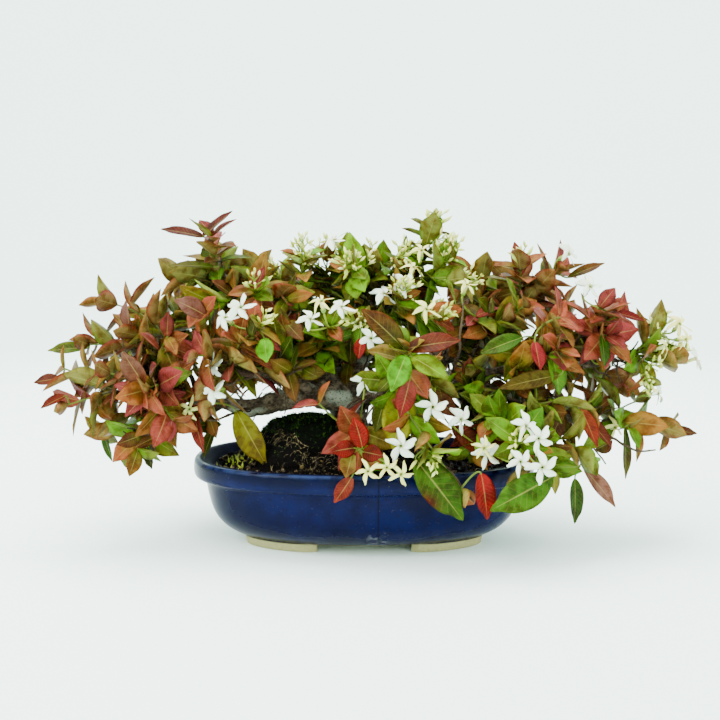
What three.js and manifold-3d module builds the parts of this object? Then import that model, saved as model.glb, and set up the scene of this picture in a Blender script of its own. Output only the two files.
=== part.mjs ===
// Asiatic jasmine bonsai in a glazed oval pot, millimetres, +Z up.
// The pot stands on four low feet. Its soil rises in a mound with a moss cushion, and the trunk stands
// in a plain hole in the mound. Limbs carry short twigs, and on the end of each twig sits one leafy
// spray. Flowers sit in the calyces of the sprays. Leaves, buds and flowers follow seeded rules.
import * as THREE from 'three';
import { mergeVertices } from 'three/addons/utils/BufferGeometryUtils.js';
import Module from 'manifold-3d';

const wasm = await Module();
wasm.setup();

// Clearances and blades
const CLEAR = 0.3;                 // least gap between two nodes
const JOIN_GAP = 0.4;              // gap where one piece continues another
const BLADE = 0.7;                 // thickness of leaves and petals
const MERGE = 0.001;               // points nearer than this are one
const FLAT = 0.03;                 // how far a point that is left out may lie off its face

// Pot
const POT_LENGTH = 210;
const POT_DEPTH = 150;
const POT_HEIGHT = 52;
const OVAL_POWER = 2.3;            // 2 is an ellipse, more is squarer
const OVAL_STEPS = 28;
const FLOOR_Z = 10;
const OUTER_PROFILE = [            // height, inset from the rim's outer edge
  [4.6, 31], [6.5, 25.5], [11, 18], [19, 11.5], [33, 8], [39.5, 7.5],
  [41, 1.4], [43.5, 0], [49, 0], [POT_HEIGHT, 2.4],
];
const INNER_PROFILE = [[POT_HEIGHT, 6], [47, 12], [16, 18.5], [FLOOR_Z, 31]];
const FOOT_REACH = [0.17, 0.78];   // share of a quarter turn that a foot covers, from the long axis
const FOOT_INSET = 33;
const FOOT_WIDTH = 8;
const FOOT_END = 0.36;             // half width at a foot's ends, as a share of its width
const FOOT_SPLAY = 1.5;
const FOOT_TOP = 5.4;
const FOOT_STEPS = 6;
const DRAIN_X = 40;
const DRAIN_RADIUS = 6;
const SCREEN_SIDE = 22;
const SCREEN_THICKNESS = 1;
const SCREEN_HOLES = 2;
const SCREEN_BAR = 0.14;           // half a bar's width as a share of the holes' spacing

// Soil and moss
const SOIL_EDGE_Z = 44.5;
const SOIL_EDGE_INSET = 12.6;
const SOIL_GAP = 0.35;             // between the soil and the pot's wall
const SOIL_LIFT = 0.4;             // the moss lies this much above the soil
const SOIL_RINGS = [0.74, 0.5, 0.26];
const MOUND_HEIGHT = 23;
const MOUND_CENTRE = [-16, 2];
const MOUND_REACH = [52, 46];
const MOSS_CENTRE = [-33, -5];
const MOSS_REACH = [31, 33];
const MOSS_PROFILE = [[1.02, 50], [1, 66], [0.84, 71], [0.5, 75.4], [0.2, 76]];   // share, height
const MOSS_STEPS = 14;

// Trunk: [first radius, last radius, points from root to tip]
const LIMBS = {
  stump: [13, 10, [[-5, 5, 36], [-6, 4, 58], [-9, 2, 76], [-13, -1, 92]]],
  stem_pale: [3.2, 2.6, [[4, -10, 52], [0, -9, 72], [-8, -4, 94]]],
  stem_dark: [3.6, 3, [[16, -6, 54], [14, -5, 76], [16, -5, 96]]],
  left: [10.5, 2.2, [[-6, 1, 86], [-30, -5, 90], [-52, -9, 86], [-72, -12, 82], [-92, -15, 88],
    [-116, -18, 92], [-138, -22, 90]]],
  left_back: [6, 2, [[-24, -2, 91], [-44, 10, 102], [-66, 22, 108], [-92, 30, 112], [-116, 34, 118]]],
  left_high: [6.5, 1.8, [[-14, 0, 88], [-28, 2, 108], [-46, 4, 124], [-64, 6, 136], [-80, 6, 146]]],
  middle_high: [6.5, 1.8, [[-10, 2, 88], [0, 6, 110], [6, 8, 130], [8, 8, 148]]],
  right: [8.5, 2, [[-8, 0, 86], [16, -6, 96], [42, -10, 100], [68, -12, 96], [92, -12, 88],
    [116, -14, 79], [136, -16, 73]]],
  right_high: [5, 1.8, [[30, -7, 98], [52, 2, 112], [76, 6, 126], [100, 6, 136]]],
  right_mid: [4.5, 1.8, [[58, -10, 98], [86, -2, 104], [114, 2, 106], [142, 2, 108], [158, 0, 111]]],
  back_left: [6, 2, [[-10, 6, 86], [-26, 30, 96], [-48, 50, 106], [-66, 62, 112]]],
  back_right: [6, 2, [[-4, 8, 86], [20, 32, 98], [46, 50, 108], [68, 60, 112]]],
  back_mid: [5, 2, [[-7, 6, 88], [-4, 24, 110], [0, 42, 128], [2, 52, 136]]],
  front: [5, 2, [[-4, -3, 84], [6, -24, 92], [16, -40, 98]]],
  front_left: [4.5, 1.8, [[-24, -5, 90], [-38, -24, 98], [-54, -38, 104], [-68, -44, 107]]],
  low_left: [2.6, 1.5, [[-84, -14, 86], [-100, -20, 76], [-118, -21, 70]]],
  low_right: [4, 1.8, [[50, -10, 98], [66, -28, 86], [82, -42, 78]]],
  sucker: [2.4, 1.6, [[-4, -2, 80], [-4, -26, 82], [-2, -44, 78]]],
};
const ROOTED = ['stump', 'stem_pale', 'stem_dark'];
const THICK_LIMB = 5.5;            // first radius above which a limb has six sides
const HOLE_CLEARANCE = 0.4;

// Sprays: limb, base, then shoots as [apex x, y, z, leaf pairs, buds at the tip]
const SPRAYS = {
  left_tip: ['left', [-146, -23, 92], [
    [-182, -15, 107, 4, 0], [-178, -25, 86, 4, 0], [-166, -4, 96, 3, 0]]],
  left_low: ['low_left', [-126, -20, 69], [
    [-160, -2, 66, 4, 0], [-153, -14, 77, 3, 0], [-134, -36, 60, 3, 0]]],
  left_front: ['left', [-112, -28, 95], [
    [-155, -40, 108, 4, 0], [-127, -54, 98, 4, 0], [-111, -48, 80, 3, 0]]],
  left_top: ['left', [-112, -10, 108], [
    [-170, 0, 120, 5, 0], [-161, 6, 146, 4, 0], [-142, -12, 131, 3, 0],
    [-116, -32, 128, 3, 0]]],
  crest_left: ['left_high', [-86, 6, 153], [
    [-93, 0, 187, 4, 0], [-116, 10, 160, 3, 0], [-90, 28, 170, 3, 0]]],
  crest_inner: ['left_high', [-64, -4, 142], [
    [-65, -22, 154, 3, 2], [-66, 12, 166, 3, 0], [-94, -34, 142, 4, 0],
    [-46, -26, 149, 3, 0]]],
  crest_mid: ['left_high', [-38, 10, 132], [
    [-38, 2, 174, 4, 0], [-23, 16, 171, 4, 0], [-56, 34, 160, 4, 0]]],
  front_left: ['front_left', [-74, -46, 109], [
    [-96, -50, 118, 3, 0], [-60, -58, 134, 3, 2], [-90, -42, 88, 3, 0],
    [-72, -16, 120, 3, 0], [-48, -36, 106, 3, 0]]],
  inner_mid: ['left_high', [-32, -8, 112], [
    [-38, -22, 128, 3, 0], [-20, -37, 134, 3, 0], [-52, -20, 112, 3, 0]]],
  top_mid: ['middle_high', [4, 4, 153], [
    [-7, -14, 167, 3, 2], [21, 0, 173, 3, 2], [-12, 20, 172, 3, 0]]],
  top_right: ['middle_high', [22, 4, 150], [
    [42, 10, 190, 4, 2], [51, -6, 173, 3, 2], [59, -12, 157, 3, 0]]],
  top_front: ['middle_high', [12, -12, 132], [
    [21, -24, 149, 3, 0], [-2, -34, 136, 3, 0], [42, -26, 138, 3, 0]]],
  front_mid: ['front', [21, -46, 102], [
    [23, -70, 124, 4, 0], [42, -48, 100, 3, 0], [34, -80, 68, 3, 2],
    [54, -86, 46, 3, 0]]],
  front_low: ['sucker', [-2, -50, 76], [
    [-3, -72, 66, 3, 0], [-26, -62, 92, 3, 0]]],
  low_mid: ['low_right', [62, -32, 92], [
    [66, -22, 104, 3, 0], [62, -62, 68, 3, 0], [82, -20, 76, 3, 0]]],
  right_inner: ['right_high', [62, -8, 124], [
    [67, -18, 139, 3, 0], [95, -26, 145, 4, 0], [72, 12, 150, 3, 0]]],
  right_crest: ['right_high', [98, 7, 140], [
    [96, 0, 168, 4, 2], [119, 6, 166, 4, 0], [96, 38, 156, 3, 0],
    [62, 40, 158, 4, 0]]],
  right_front: ['right_mid', [96, -18, 110], [
    [114, -41, 140, 4, 0], [112, -51, 122, 4, 0], [88, -46, 102, 3, 0]]],
  right_top: ['right_mid', [130, -4, 122], [
    [142, -15, 144, 3, 0], [154, -10, 138, 3, 0], [143, -31, 128, 4, 0]]],
  right_far: ['right_mid', [162, -1, 112], [
    [181, 5, 128, 4, 2], [170, -16, 102, 3, 0], [188, -2, 112, 3, 0]]],
  right_low_far: ['right', [142, -16, 73], [
    [188, 0, 69, 4, 0], [158, -30, 74, 3, 0], [170, 6, 84, 3, 0]]],
  right_front_low: ['low_right', [87, -50, 77], [
    [86, -80, 72, 3, 2], [104, -82, 58, 3, 0], [72, -68, 86, 3, 0],
    [129, -52, 58, 3, 0], [132, -38, 88, 3, 0]]],
  back_left_far: ['left_back', [-122, 36, 120], [
    [-150, 42, 114, 4, 0], [-138, 56, 134, 4, 0], [-116, 46, 148, 4, 2],
    [-128, 62, 100, 4, 0]]],
  back_left: ['back_left', [-72, 66, 113], [
    [-98, 78, 120, 4, 0], [-62, 80, 138, 4, 0], [-84, 88, 98, 4, 0],
    [-44, 88, 102, 4, 2]]],
  back_mid: ['back_mid', [2, 57, 140], [
    [4, 72, 167, 4, 2], [-22, 64, 154, 4, 0], [26, 76, 142, 4, 0],
    [-8, 88, 120, 4, 0]]],
  back_right: ['back_right', [74, 64, 113], [
    [92, 84, 126, 4, 2], [56, 86, 108, 4, 0], [104, 68, 98, 4, 0],
    [66, 68, 142, 4, 0]]],
  back_right_far: ['right_mid', [128, 24, 106], [
    [154, 38, 122, 4, 0], [134, 54, 104, 4, 0], [164, 32, 92, 4, 0],
    [122, 36, 140, 4, 0]]],
};
const TWIG_RADII = [1.2, 1.5];
const STEM_RADII = [1.2, 0.6];
const SIDE_STEM_RADII = [1, 0.55];
const SUNK_RADIUS = 0.4;           // a side piece's root is this thin inside the stem that it grows from
const NODE_LENGTH = 1.3;           // the stretch of shoot that a leaf pair's roots cover
const FORK_SHARE = 0.16;           // where the side shoots leave the leading one
const SIDE_BEND_SHARE = 0.3;       // where a side shoot has bent round towards its tip
const SHOOT_TURN = 1.3;            // how far each next shoot's leaf pairs are turned
const LEAF_RIM = [[0.3, -1], [0.68, -1], [1, 0], [0.68, 1], [0.3, 1]];
const LEAF_LENGTH = 24;
const FACE_PULL = 0.8;             // how strongly a leaf's face turns towards the tip of its shoot
const LEAF_ASPECT = 0.245;         // half width as a share of the length
const LEAF_ROOT = 0.12;            // share of a leaf that may touch its own stem
const LEAF_TRIES = 7;
const STEM_TRIES = 10;
const BUD_LENGTH = 10;
const BUD_TRIES = 5;
const BUD_RADIUS = 1.15;
const CENTRE = [0, 0, 85];         // middle of the crown, which leaves and flowers face away from

// Large single leaves: stalk end, tip, half width
const LARGE_LEAVES = [
  [[22, -72, 124], [0, -78, 148], 7.5], [[23, -72, 124], [52, -84, 131], 6.5],
  [[23, -76, 121], [15, -92, 103], 6.5], [[26, -76, 120], [46, -88, 110], 6.5],
  [[21, -68, 102], [17, -76, 67], 9.5], [[25, -82, 108], [20, -90, 88], 5.5],
  [[28, -84, 64], [54, -98, 33], 10.5], [[104, -88, 55], [69, -99, 38], 9.5],
  [[64, -88, 57], [69, -93, 32], 6.5], [[-76, -34, 84], [-58, -45, 53], 8.5],
  [[-90, -26, 72], [-97, -30, 55], 4.5], [[-101, -35, 84], [-96, -39, 59], 4.5],
  [[-1, -73, 68], [-5, -77, 86], 5.5], [[-5, -72, 68], [-18, -80, 68], 5],
  [[-1, -73, 66], [10, -85, 66], 5], [[-7, -73, 65], [-10, -81, 53], 5.5],
  [[-7, -79, 53], [-16, -85, 39], 4.5], [[-57, -58, 129], [-55, -65, 116], 5.5],
  [[97, -58, 127], [99, -67, 112], 5], [[92, -42, 128], [67, -48, 120], 5.5],
  [[113, -51, 107], [77, -55, 101], 5.5], [[82, -41, 97], [70, -49, 82], 6],
  [[86, -85, 73], [67, -89, 88], 6], [[126, -41, 88], [136, -51, 65], 6],
  [[122, -53, 47], [122, -61, 22], 5.5], [[127, -51, 53], [146, -59, 32], 5.5],
  [[155, -31, 74], [157, -37, 43], 4], [[189, -1, 67], [208, 1, 65], 3.5],
  [[140, -32, 129], [142, -40, 111], 4.5], [[-99, 0, 186], [-81, 2, 203], 5],
  [[-98, 2, 186], [-125, 4, 193], 4.5], [[-91, -5, 168], [-117, -11, 171], 4],
  [[126, 6, 161], [148, 5, 172], 3.5], [[149, -11, 141], [171, -9, 137], 4],
  [[-170, 0, 118], [-195, -3, 118], 5], [[-184, -17, 101], [-201, -15, 99], 4],
  [[-178, -28, 92], [-192, -34, 86], 4.5], [[-162, -1, 66], [-156, -5, 48], 3.5],
  [[-130, -31, 62], [-126, -35, 49], 3.5], [[-126, -57, 102], [-137, -62, 121], 7],
  [[-141, -16, 129], [-143, -22, 148], 6.5], [[-92, -38, 140], [-109, -45, 151], 6.5],
];

// Flowers: throat x, y, z, and for two that touch the second throat too
const BLOOMS = [
  [-88, -47, 115], [-86, -54, 99], [-102, -44, 86], [-70, -58, 146, -79, -56, 140], [-31, -52, 139],
  [-13, -54, 146], [-18, -2, 184], [12, -22, 152], [30, -16, 168, 24, -22, 158], [36, -42, 144],
  [4, -52, 128], [1, -54, 103], [38, -78, 92], [54, -72, 84], [84, -99, 65, 96, -98, 62],
  [94, -94, 76, 87, -90, 84], [20, -88, 72], [68, -80, 66], [193, -4, 133], [203, -6, 112],
  [155, -24, 75], [178, -16, 92], [146, -20, 116], [124, -6, 176], [136, -14, 156],
  [-52, 88, 147, -42, 90, 141], [24, 86, 153, 34, 88, 147],
];
const PETALS = 5;
const PETAL_LENGTH = 9.5;
const PETAL_HALF_WIDTH = 2.3;
const PETAL_RIM = [[0.84, -1], [1, 0.8]];
const NOTCH_RADIUS = 1.5;
const TUBE_LENGTH = 7;
const TUBE_RADIUS = 0.9;
const BLOOM_TRIES = 60;
const STALK_RADII = [0.3, 0.55, 1.2];
const STALK_TRIES = 8;
const LEAF_STALK = 0.42;           // half the thickness of a large leaf's stalk

const COLOURS = {
  glaze: [0x1f3f8f, 0.25], soil: [0x2a1f18, 0.95], moss: [0x25401a, 0.95], bark: [0x5b4a3f, 0.85],
  screen: [0x1b1b1c, 0.6], leaf: [0x8e4a3a, 0.5], petal: [0xf6f6e6, 0.45],
};

// Small vector helpers on THREE.Vector3
const V = (x, y, z) => new THREE.Vector3(x, y, z);
const from = (list) => V(list[0], list[1], list[2]);
const plus = (a, b, share = 1) => a.clone().addScaledVector(b, share);
const mix = (a, b, share) => a.clone().lerp(b, share);
const unit = (a) => a.clone().normalize();
const cross = (a, b) => V(0, 0, 0).crossVectors(a, b);
const UP = V(0, 0, 1);

// A rule worked out at even steps of a run from 0 to 1, or of one whole turn
const even = (count, rule) => Array.from({ length: count + 1 }, (_, k) => rule(k / count));
const around = (count, rule) => Array.from({ length: count }, (_, k) => rule((k / count) * 2 * Math.PI));

// A seeded row of draws between 0 and 1, the same for the same seed
function draws(seed) {
  let state = (seed * 2654435 + 977) % 4294967296;
  const draw = () => {
    state = (state * 1664525 + 1013904223) % 4294967296;
    return state / 4294967296;
  };
  draw();
  draw();
  return draw;
}

// Three draws as a vector, each from -0.5 to 0.5
function drawnVector(draw) {
  return V(draw() - 0.5, draw() - 0.5, draw() - 0.5);
}

// Two directions square to an axis and to each other
function squareTo(axis) {
  const helper = Math.abs(axis.z) > 0.9 ? V(1, 0, 0) : UP;
  const first = unit(cross(helper, axis));
  return [first, cross(axis, first)];
}

function solidOf(points, triangles) {
  const vertProperties = new Float32Array(points.flatMap((p) => [p.x, p.y, p.z]));
  const triVerts = new Uint32Array(triangles.flat());
  return new wasm.Manifold(new wasm.Mesh({ numProp: 3, vertProperties, triVerts }));
}

// Rings of points joined one to the next, the first and the last closed by a fan
function ringSolid(rings) {
  const sides = rings[0].length;
  const triangles = [];
  for (let k = 0; k + 1 < rings.length; k += 1) {
    for (let i = 0; i < sides; i += 1) {
      const a = k * sides + i;
      const b = k * sides + (i + 1) % sides;
      triangles.push([a, b, b + sides], [a, b + sides, a + sides]);
    }
  }
  const last = (rings.length - 1) * sides;
  for (let i = 1; i + 1 < sides; i += 1) {
    triangles.push([0, i + 1, i], [last, last + i, last + i + 1]);
  }
  return solidOf(rings.flat(), triangles);
}

// A tapered tube: a ring square to the path at each of its points, turned as little as possible.
// Its last end may be set square to a direction, to meet the next piece flat.
function tube(points, radii, sides, finish) {
  let [first] = squareTo(unit(points[1].clone().sub(points[0])));
  const rings = points.map((point, k) => {
    const before = points[Math.max(k - 1, 0)];
    const after = points[Math.min(k + 1, points.length - 1)];
    const along = finish && k === points.length - 1 ? finish : unit(after.clone().sub(before));
    first = unit(plus(first, along, -first.dot(along)));
    const second = cross(along, first);
    return around(sides, (turn) =>
      plus(plus(point, first, radii[k] * Math.cos(turn)), second, radii[k] * Math.sin(turn)));
  });
  return ringSolid(rings);
}

const taper = ([first, last], count) => even(count, (t) => first + (last - first) * t);

// A quadratic curve with its point and direction at any share t of its run
function bend(start, control, end) {
  const point = (t) => mix(mix(start, control, t), mix(control, end, t), t);
  const direction = (t) => unit(mix(control, end, t).sub(mix(start, control, t)));
  return { point, direction, end };
}

// A point of the pot's oval: |x / a|^p + |y / b|^p = 1, with both half lengths less the inset
function ovalPoint(inset, turn, z) {
  const power = (value) => Math.sign(value) * Math.abs(value) ** (2 / OVAL_POWER);
  const long = POT_LENGTH / 2 - inset;
  const short = POT_DEPTH / 2 - inset;
  return V(long * power(Math.cos(turn)), short * power(Math.sin(turn)), z);
}

function ovalRing(inset, z) {
  return around(OVAL_STEPS, (turn) => ovalPoint(inset, turn, z));
}

// A foot follows the oval, narrower at both ends and wider where it meets the pot
function foot(quarter) {
  const rings = even(FOOT_STEPS, (t) => {
    const share = (FOOT_REACH[0] + (FOOT_REACH[1] - FOOT_REACH[0]) * t) * Math.PI / 2;
    const turn = [share, Math.PI - share, Math.PI + share, 2 * Math.PI - share][quarter];
    const half = FOOT_WIDTH * (t === 0 || t === 1 ? FOOT_END : 0.5);
    const top = half + FOOT_SPLAY;
    const ring = [
      ovalPoint(FOOT_INSET + half, turn, 0), ovalPoint(FOOT_INSET - half, turn, 0),
      ovalPoint(FOOT_INSET - top, turn, FOOT_TOP), ovalPoint(FOOT_INSET + top, turn, FOOT_TOP),
    ];
    return quarter % 2 ? ring : ring.reverse();
  });
  return ringSolid(rings);
}

function cylinder(x, y, radius, low, high, sides) {
  return tube([V(x, y, low), V(x, y, high)], [radius, radius], sides);
}

function potSolid() {
  const outer = OUTER_PROFILE.map(([z, inset]) => ovalRing(inset, z));
  const inner = INNER_PROFILE.map(([z, inset]) => ovalRing(inset, z));
  let pot = ringSolid([...outer, ...inner]);
  for (let quarter = 0; quarter < 4; quarter += 1) pot = pot.add(foot(quarter));
  for (const side of [-1, 1]) pot = pot.subtract(cylinder(side * DRAIN_X, 0, DRAIN_RADIUS, 1, 20, 12));
  return pot;
}

// A drain screen: a thin square with a grid of square holes
function box(x0, y0, z0, x1, y1, z1) {
  const ring = (z) => [V(x0, y0, z), V(x1, y0, z), V(x1, y1, z), V(x0, y1, z)];
  return ringSolid([ring(z0), ring(z1)]);
}

function screenSolid(x) {
  const low = FLOOR_Z + CLEAR;
  const half = SCREEN_SIDE / 2;
  let screen = box(x - half, -half, low, x + half, half, low + SCREEN_THICKNESS);
  const pitch = SCREEN_SIDE / (SCREEN_HOLES + 1);
  for (let i = 0; i < SCREEN_HOLES; i += 1) {
    for (let j = 0; j < SCREEN_HOLES; j += 1) {
      const cx = x + (i - (SCREEN_HOLES - 1) / 2) * pitch;
      const cy = (j - (SCREEN_HOLES - 1) / 2) * pitch;
      const reach = pitch * (0.5 - SCREEN_BAR);
      screen = screen.subtract(box(cx - reach, cy - reach, low - 1, cx + reach, cy + reach, low + 3));
    }
  }
  return screen;
}

// The soil fills the pot a hair inside its wall, and its top is a flat with a steep round mound
function soilHeight(x, y) {
  const long = (x - MOUND_CENTRE[0]) / MOUND_REACH[0];
  const short = (y - MOUND_CENTRE[1]) / MOUND_REACH[1];
  return SOIL_EDGE_Z + MOUND_HEIGHT / (1 + (long ** 2 + short ** 2) ** 3);
}

function soilSolid(lift = 0) {
  const wall = [[FLOOR_Z + CLEAR + 0.02, 31], [16.2, 18.5], [SOIL_EDGE_Z + lift, SOIL_EDGE_INSET]];
  const rings = wall.map(([z, inset]) => ovalRing(inset + SOIL_GAP, z));
  for (const share of SOIL_RINGS) {
    rings.push(ovalRing(SOIL_EDGE_INSET + SOIL_GAP, 0).map((p) => {
      const x = p.x * share + MOUND_CENTRE[0] * (1 - share);
      const y = p.y * share + MOUND_CENTRE[1] * (1 - share);
      return V(x, y, soilHeight(x, y) + lift);
    }));
  }
  let soil = ringSolid(rings);
  const half = SCREEN_SIDE / 2 + CLEAR;
  const top = FLOOR_Z + 2 * CLEAR + SCREEN_THICKNESS;
  for (const side of [-1, 1]) {
    const x = side * DRAIN_X;
    soil = soil.subtract(box(x - half, -half, 0, x + half, half, top));
  }
  return soil;
}

// The moss: a shallow dome, cut from below by the soil and by the trunk's hole
function mossSolid(soilRaised, hole) {
  const rings = MOSS_PROFILE.map(([share, z], k) => around(MOSS_STEPS, (turn) => {
    const reach = share * (1 + 0.07 * Math.sin(3 * turn + 1) + 0.05 * Math.sin(5 * turn));
    const x = MOSS_CENTRE[0] + MOSS_REACH[0] * reach * Math.cos(turn);
    const y = MOSS_CENTRE[1] + MOSS_REACH[1] * reach * Math.sin(turn);
    const drop = k < 2 ? 2.5 * Math.sin(2 * turn) : 0;
    return V(x, y, z + drop);
  }));
  return largest(ringSolid(rings).subtract(soilRaised).subtract(hole));
}

function largest(solid) {
  return solid.decompose().sort((a, b) => b.volume() - a.volume())[0];
}

// The trunk: every limb a six-sided tube, joined, with a twig from its limb to each spray's base
function limbCurve(name) {
  return new THREE.CatmullRomCurve3(LIMBS[name][2].map(from), false, 'catmullrom', 0.5);
}

function limbSides(name) {
  if (name === 'stump') return 8;
  return LIMBS[name][0] > THICK_LIMB ? 6 : 5;
}

function limbTube(name, grow = 0) {
  const [first, last, points] = LIMBS[name];
  const curve = limbCurve(name);
  const steps = Math.max(2, points.length - 1);
  const path = even(steps, (t) => curve.getPoint(t));
  path[0] = plus(path[0], UP, -grow);
  const radii = even(steps, (t) => {
    const knots = 1 + 0.1 * Math.sin(17 * t + first * 3) * (name === 'stump' ? 0.4 : 1);
    return (first + (last - first) * t ** 0.8) * knots + grow;
  });
  return tube(path, radii, limbSides(name));
}

// A spray heads between the middle of its tips and the tip of its leading shoot
function heading(name) {
  const [, base, shoots] = SPRAYS[name];
  const apexes = shoots.map(from);
  const middle = apexes.reduce((sum, apex) => sum.add(apex), V(0, 0, 0)).divideScalar(apexes.length);
  return unit(plus(unit(middle.sub(from(base))), unit(apexes[0].clone().sub(from(base)))));
}

function twig(name) {
  const [limb, base] = SPRAYS[name];
  const curve = limbCurve(limb);
  const end = from(base);
  const gap = (t) => curve.getPoint(t).distanceTo(end);
  const near = even(60, (t) => t).reduce((best, t) => (gap(t) < gap(best) ? t : best));
  const root = curve.getPoint(Math.max(0, near - 0.5 * gap(near) / curve.getLength()));
  const control = plus(end, heading(name), -0.45 * root.distanceTo(end));
  const path = even(2, bend(root, control, end).point);
  return tube(path, taper(TWIG_RADII, 2), 3, heading(name));
}

// Everything placed so far, with the name of its node, to keep the next piece clear of it
const placed = [];

function place(node, solid, grown = false) {
  placed.push({ node, solid, box: solid.boundingBox(), grown });
}

function isClear(solid, skip, gap = CLEAR) {
  const own = solid.boundingBox();
  const apart = (one, two, axis) => one.min[axis] > two.max[axis] + gap;
  return placed.every((other) => {
    if (skip(other)) return true;
    if ([0, 1, 2].some((axis) => apart(own, other.box, axis) || apart(other.box, own, axis))) return true;
    return solid.minGap(other.solid, gap + 0.05) >= gap;
  });
}

// Shoots: the first leads on from the twig. The others leave the four sides of its fork, a little way up,
// each from the side that faces its own tip best, and arch a little.
function routeShoots(name) {
  const [, base, shoots] = SPRAYS[name];
  const lead = heading(name);
  const routes = [];
  const free = [0, 1, 2, 3];
  shoots.forEach((shoot, j) => {
    const apex = from(shoot);
    let root = plus(from(base), lead, JOIN_GAP);
    let along = lead;
    let quarter = -1;
    if (j > 0) {
      const fork = routes[0].point(FORK_SHARE);
      const facing = (side) => apex.clone().sub(fork).dot(sideNormal(routes[0], FORK_SHARE, side));
      quarter = free.reduce((best, side) => (facing(side) > facing(best) ? side : best));
      free.splice(free.indexOf(quarter), 1);
      const normal = sideNormal(routes[0], FORK_SHARE, quarter);
      root = plus(fork, normal, 0.6 * STEM_RADII[0]);
      along = unit(plus(normal, routes[0].direction(FORK_SHARE), 0.6));
    }
    const run = apex.distanceTo(root);
    const control = plus(plus(root, along, 0.4 * run), UP, 0.1 * run);
    let route;
    for (let attempt = 0; attempt < STEM_TRIES; attempt += 1) {
      const draw = draws(shootSeed(name, j) + 31 * attempt);
      const sway = drawnVector(draw).multiplyScalar(attempt * 0.07 * run);
      const nudge = drawnVector(draw).multiplyScalar(attempt * 1.2);
      route = bend(root, plus(control, sway), plus(apex, nudge));
      Object.assign(route, { name, j, run, pairs: shoot[3], buds: shoot[4] });
      route.lead = j === 0 ? lead : null;
      route.nodes = nodeShares(route).map((share) => ({ share, sides: [] }));
      route.solid = shootSolid(route);
      if (isClear(route.solid, (other) => other.node === name)) break;
    }
    if (j > 0) routes[0].nodes[0].sides[quarter] = route;
    place(name, route.solid);
    routes.push(route);
  });
  return routes;
}

// A leading shoot has its fork, a leaf pair and the pair at its tip, and a side shoot the pair at its tip
function nodeShares(route) {
  const tip = leafShare(route, route.pairs - 1);
  return route.j > 0 ? [tip] : [FORK_SHARE, leafShare(route, route.pairs - 3), tip];
}

// Directions round a shoot at a share of its run, carried along from its root without a twist
function roundShoot(route, share) {
  const along = share === 0 && route.lead ? route.lead : route.direction(share);
  const [carried] = squareTo(route.direction(0));
  const first = unit(plus(carried, along, -carried.dot(along)));
  return [first, cross(along, first)];
}

function sideNormal(route, share, quarter) {
  const [first, second] = roundShoot(route, share);
  const turn = SHOOT_TURN * route.j + quarter * Math.PI / 2;
  return plus(first.clone().multiplyScalar(Math.cos(turn)), second, Math.sin(turn));
}

function addRing(points, route, share) {
  const [thick, thin] = route.j === 0 ? STEM_RADII : SIDE_STEM_RADII;
  const radius = thick + (thin - thick) * share;
  const start = points.length;
  for (let i = 0; i < 4; i += 1) {
    points.push(plus(route.point(share), sideNormal(route, share, i - 0.5), radius));
  }
  return [start, start + 1, start + 2, start + 3];
}

// The order of a loop's four points that lies nearest to four places, so that what joins them isn't twisted
function untwisted(points, loop, places) {
  const off = (i, turn) => points[loop[(i + turn) % 4]].distanceToSquared(places[i]);
  const twist = (turn) => places.reduce((sum, _, i) => sum + off(i, turn), 0);
  const turn = [0, 1, 2, 3].reduce((best, next) => (twist(next) < twist(best) ? next : best), 0);
  return [0, 1, 2, 3].map((i) => loop[(i + turn) % 4]);
}

// A square shoot from a loop of four points, or from a ring of its own. It has two rings close together
// at each node, and each leaf or side shoot of the node grows out of one of the four sides between them.
function growShoot(points, triangles, route, rootLoop) {
  let loop = rootLoop;
  if (!loop) {
    loop = addRing(points, route, 0);
    triangles.push([loop[0], loop[2], loop[1]], [loop[0], loop[3], loop[2]]);
  }
  const half = NODE_LENGTH / 2 / route.run;
  const rings = route.nodes.flatMap(({ share, sides }) => [[share - half, []], [share + half, sides]]);
  if (route.j > 0) rings.unshift([SIDE_BEND_SHARE, []]);
  for (const [share, growth] of rings) {
    const ring = addRing(points, route, share);
    if (loop === rootLoop) loop = untwisted(points, loop, ring.map((index) => points[index]));
    for (let i = 0; i < 4; i += 1) {
      const j = (i + 1) % 4;
      const side = [loop[i], loop[j], ring[j], ring[i]];
      if (!growth[i]) triangles.push([side[0], side[1], side[2]], [side[0], side[2], side[3]]);
      else if (growth[i].nodes) growShoot(points, triangles, growth[i], side);
      else growLeaf(points, triangles, side, growth[i]);
    }
    loop = ring;
  }
  triangles.push([loop[0], loop[1], loop[2]], [loop[0], loop[2], loop[3]]);
}

function shootSolid(route) {
  const points = [];
  const triangles = [];
  growShoot(points, triangles, route);
  return solidOf(points, triangles);
}

function shootSeed(name, j) {
  return (Object.keys(SPRAYS).indexOf(name) * 8 + j) * 4099;
}

// A leaf blade: elliptic with a drawn-out tip, folded along its midrib and arched down to the tip.
// along runs 0 at the stalk to 1 at the tip, and across runs -1 to 1 over the blade.
function bladePoint(leaf, along, across) {
  const { direction, normal, length, halfWidth, arch, fold } = leaf;
  const half = halfWidth * Math.max(0, Math.sin(Math.PI * along ** 0.92)) ** 1.2;
  const rise = fold * half * Math.abs(across) - arch * length * along * along;
  const side = cross(normal, direction);
  return plus(plus(plus(leaf.origin, direction, length * along), side, half * across), normal, rise);
}

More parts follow.
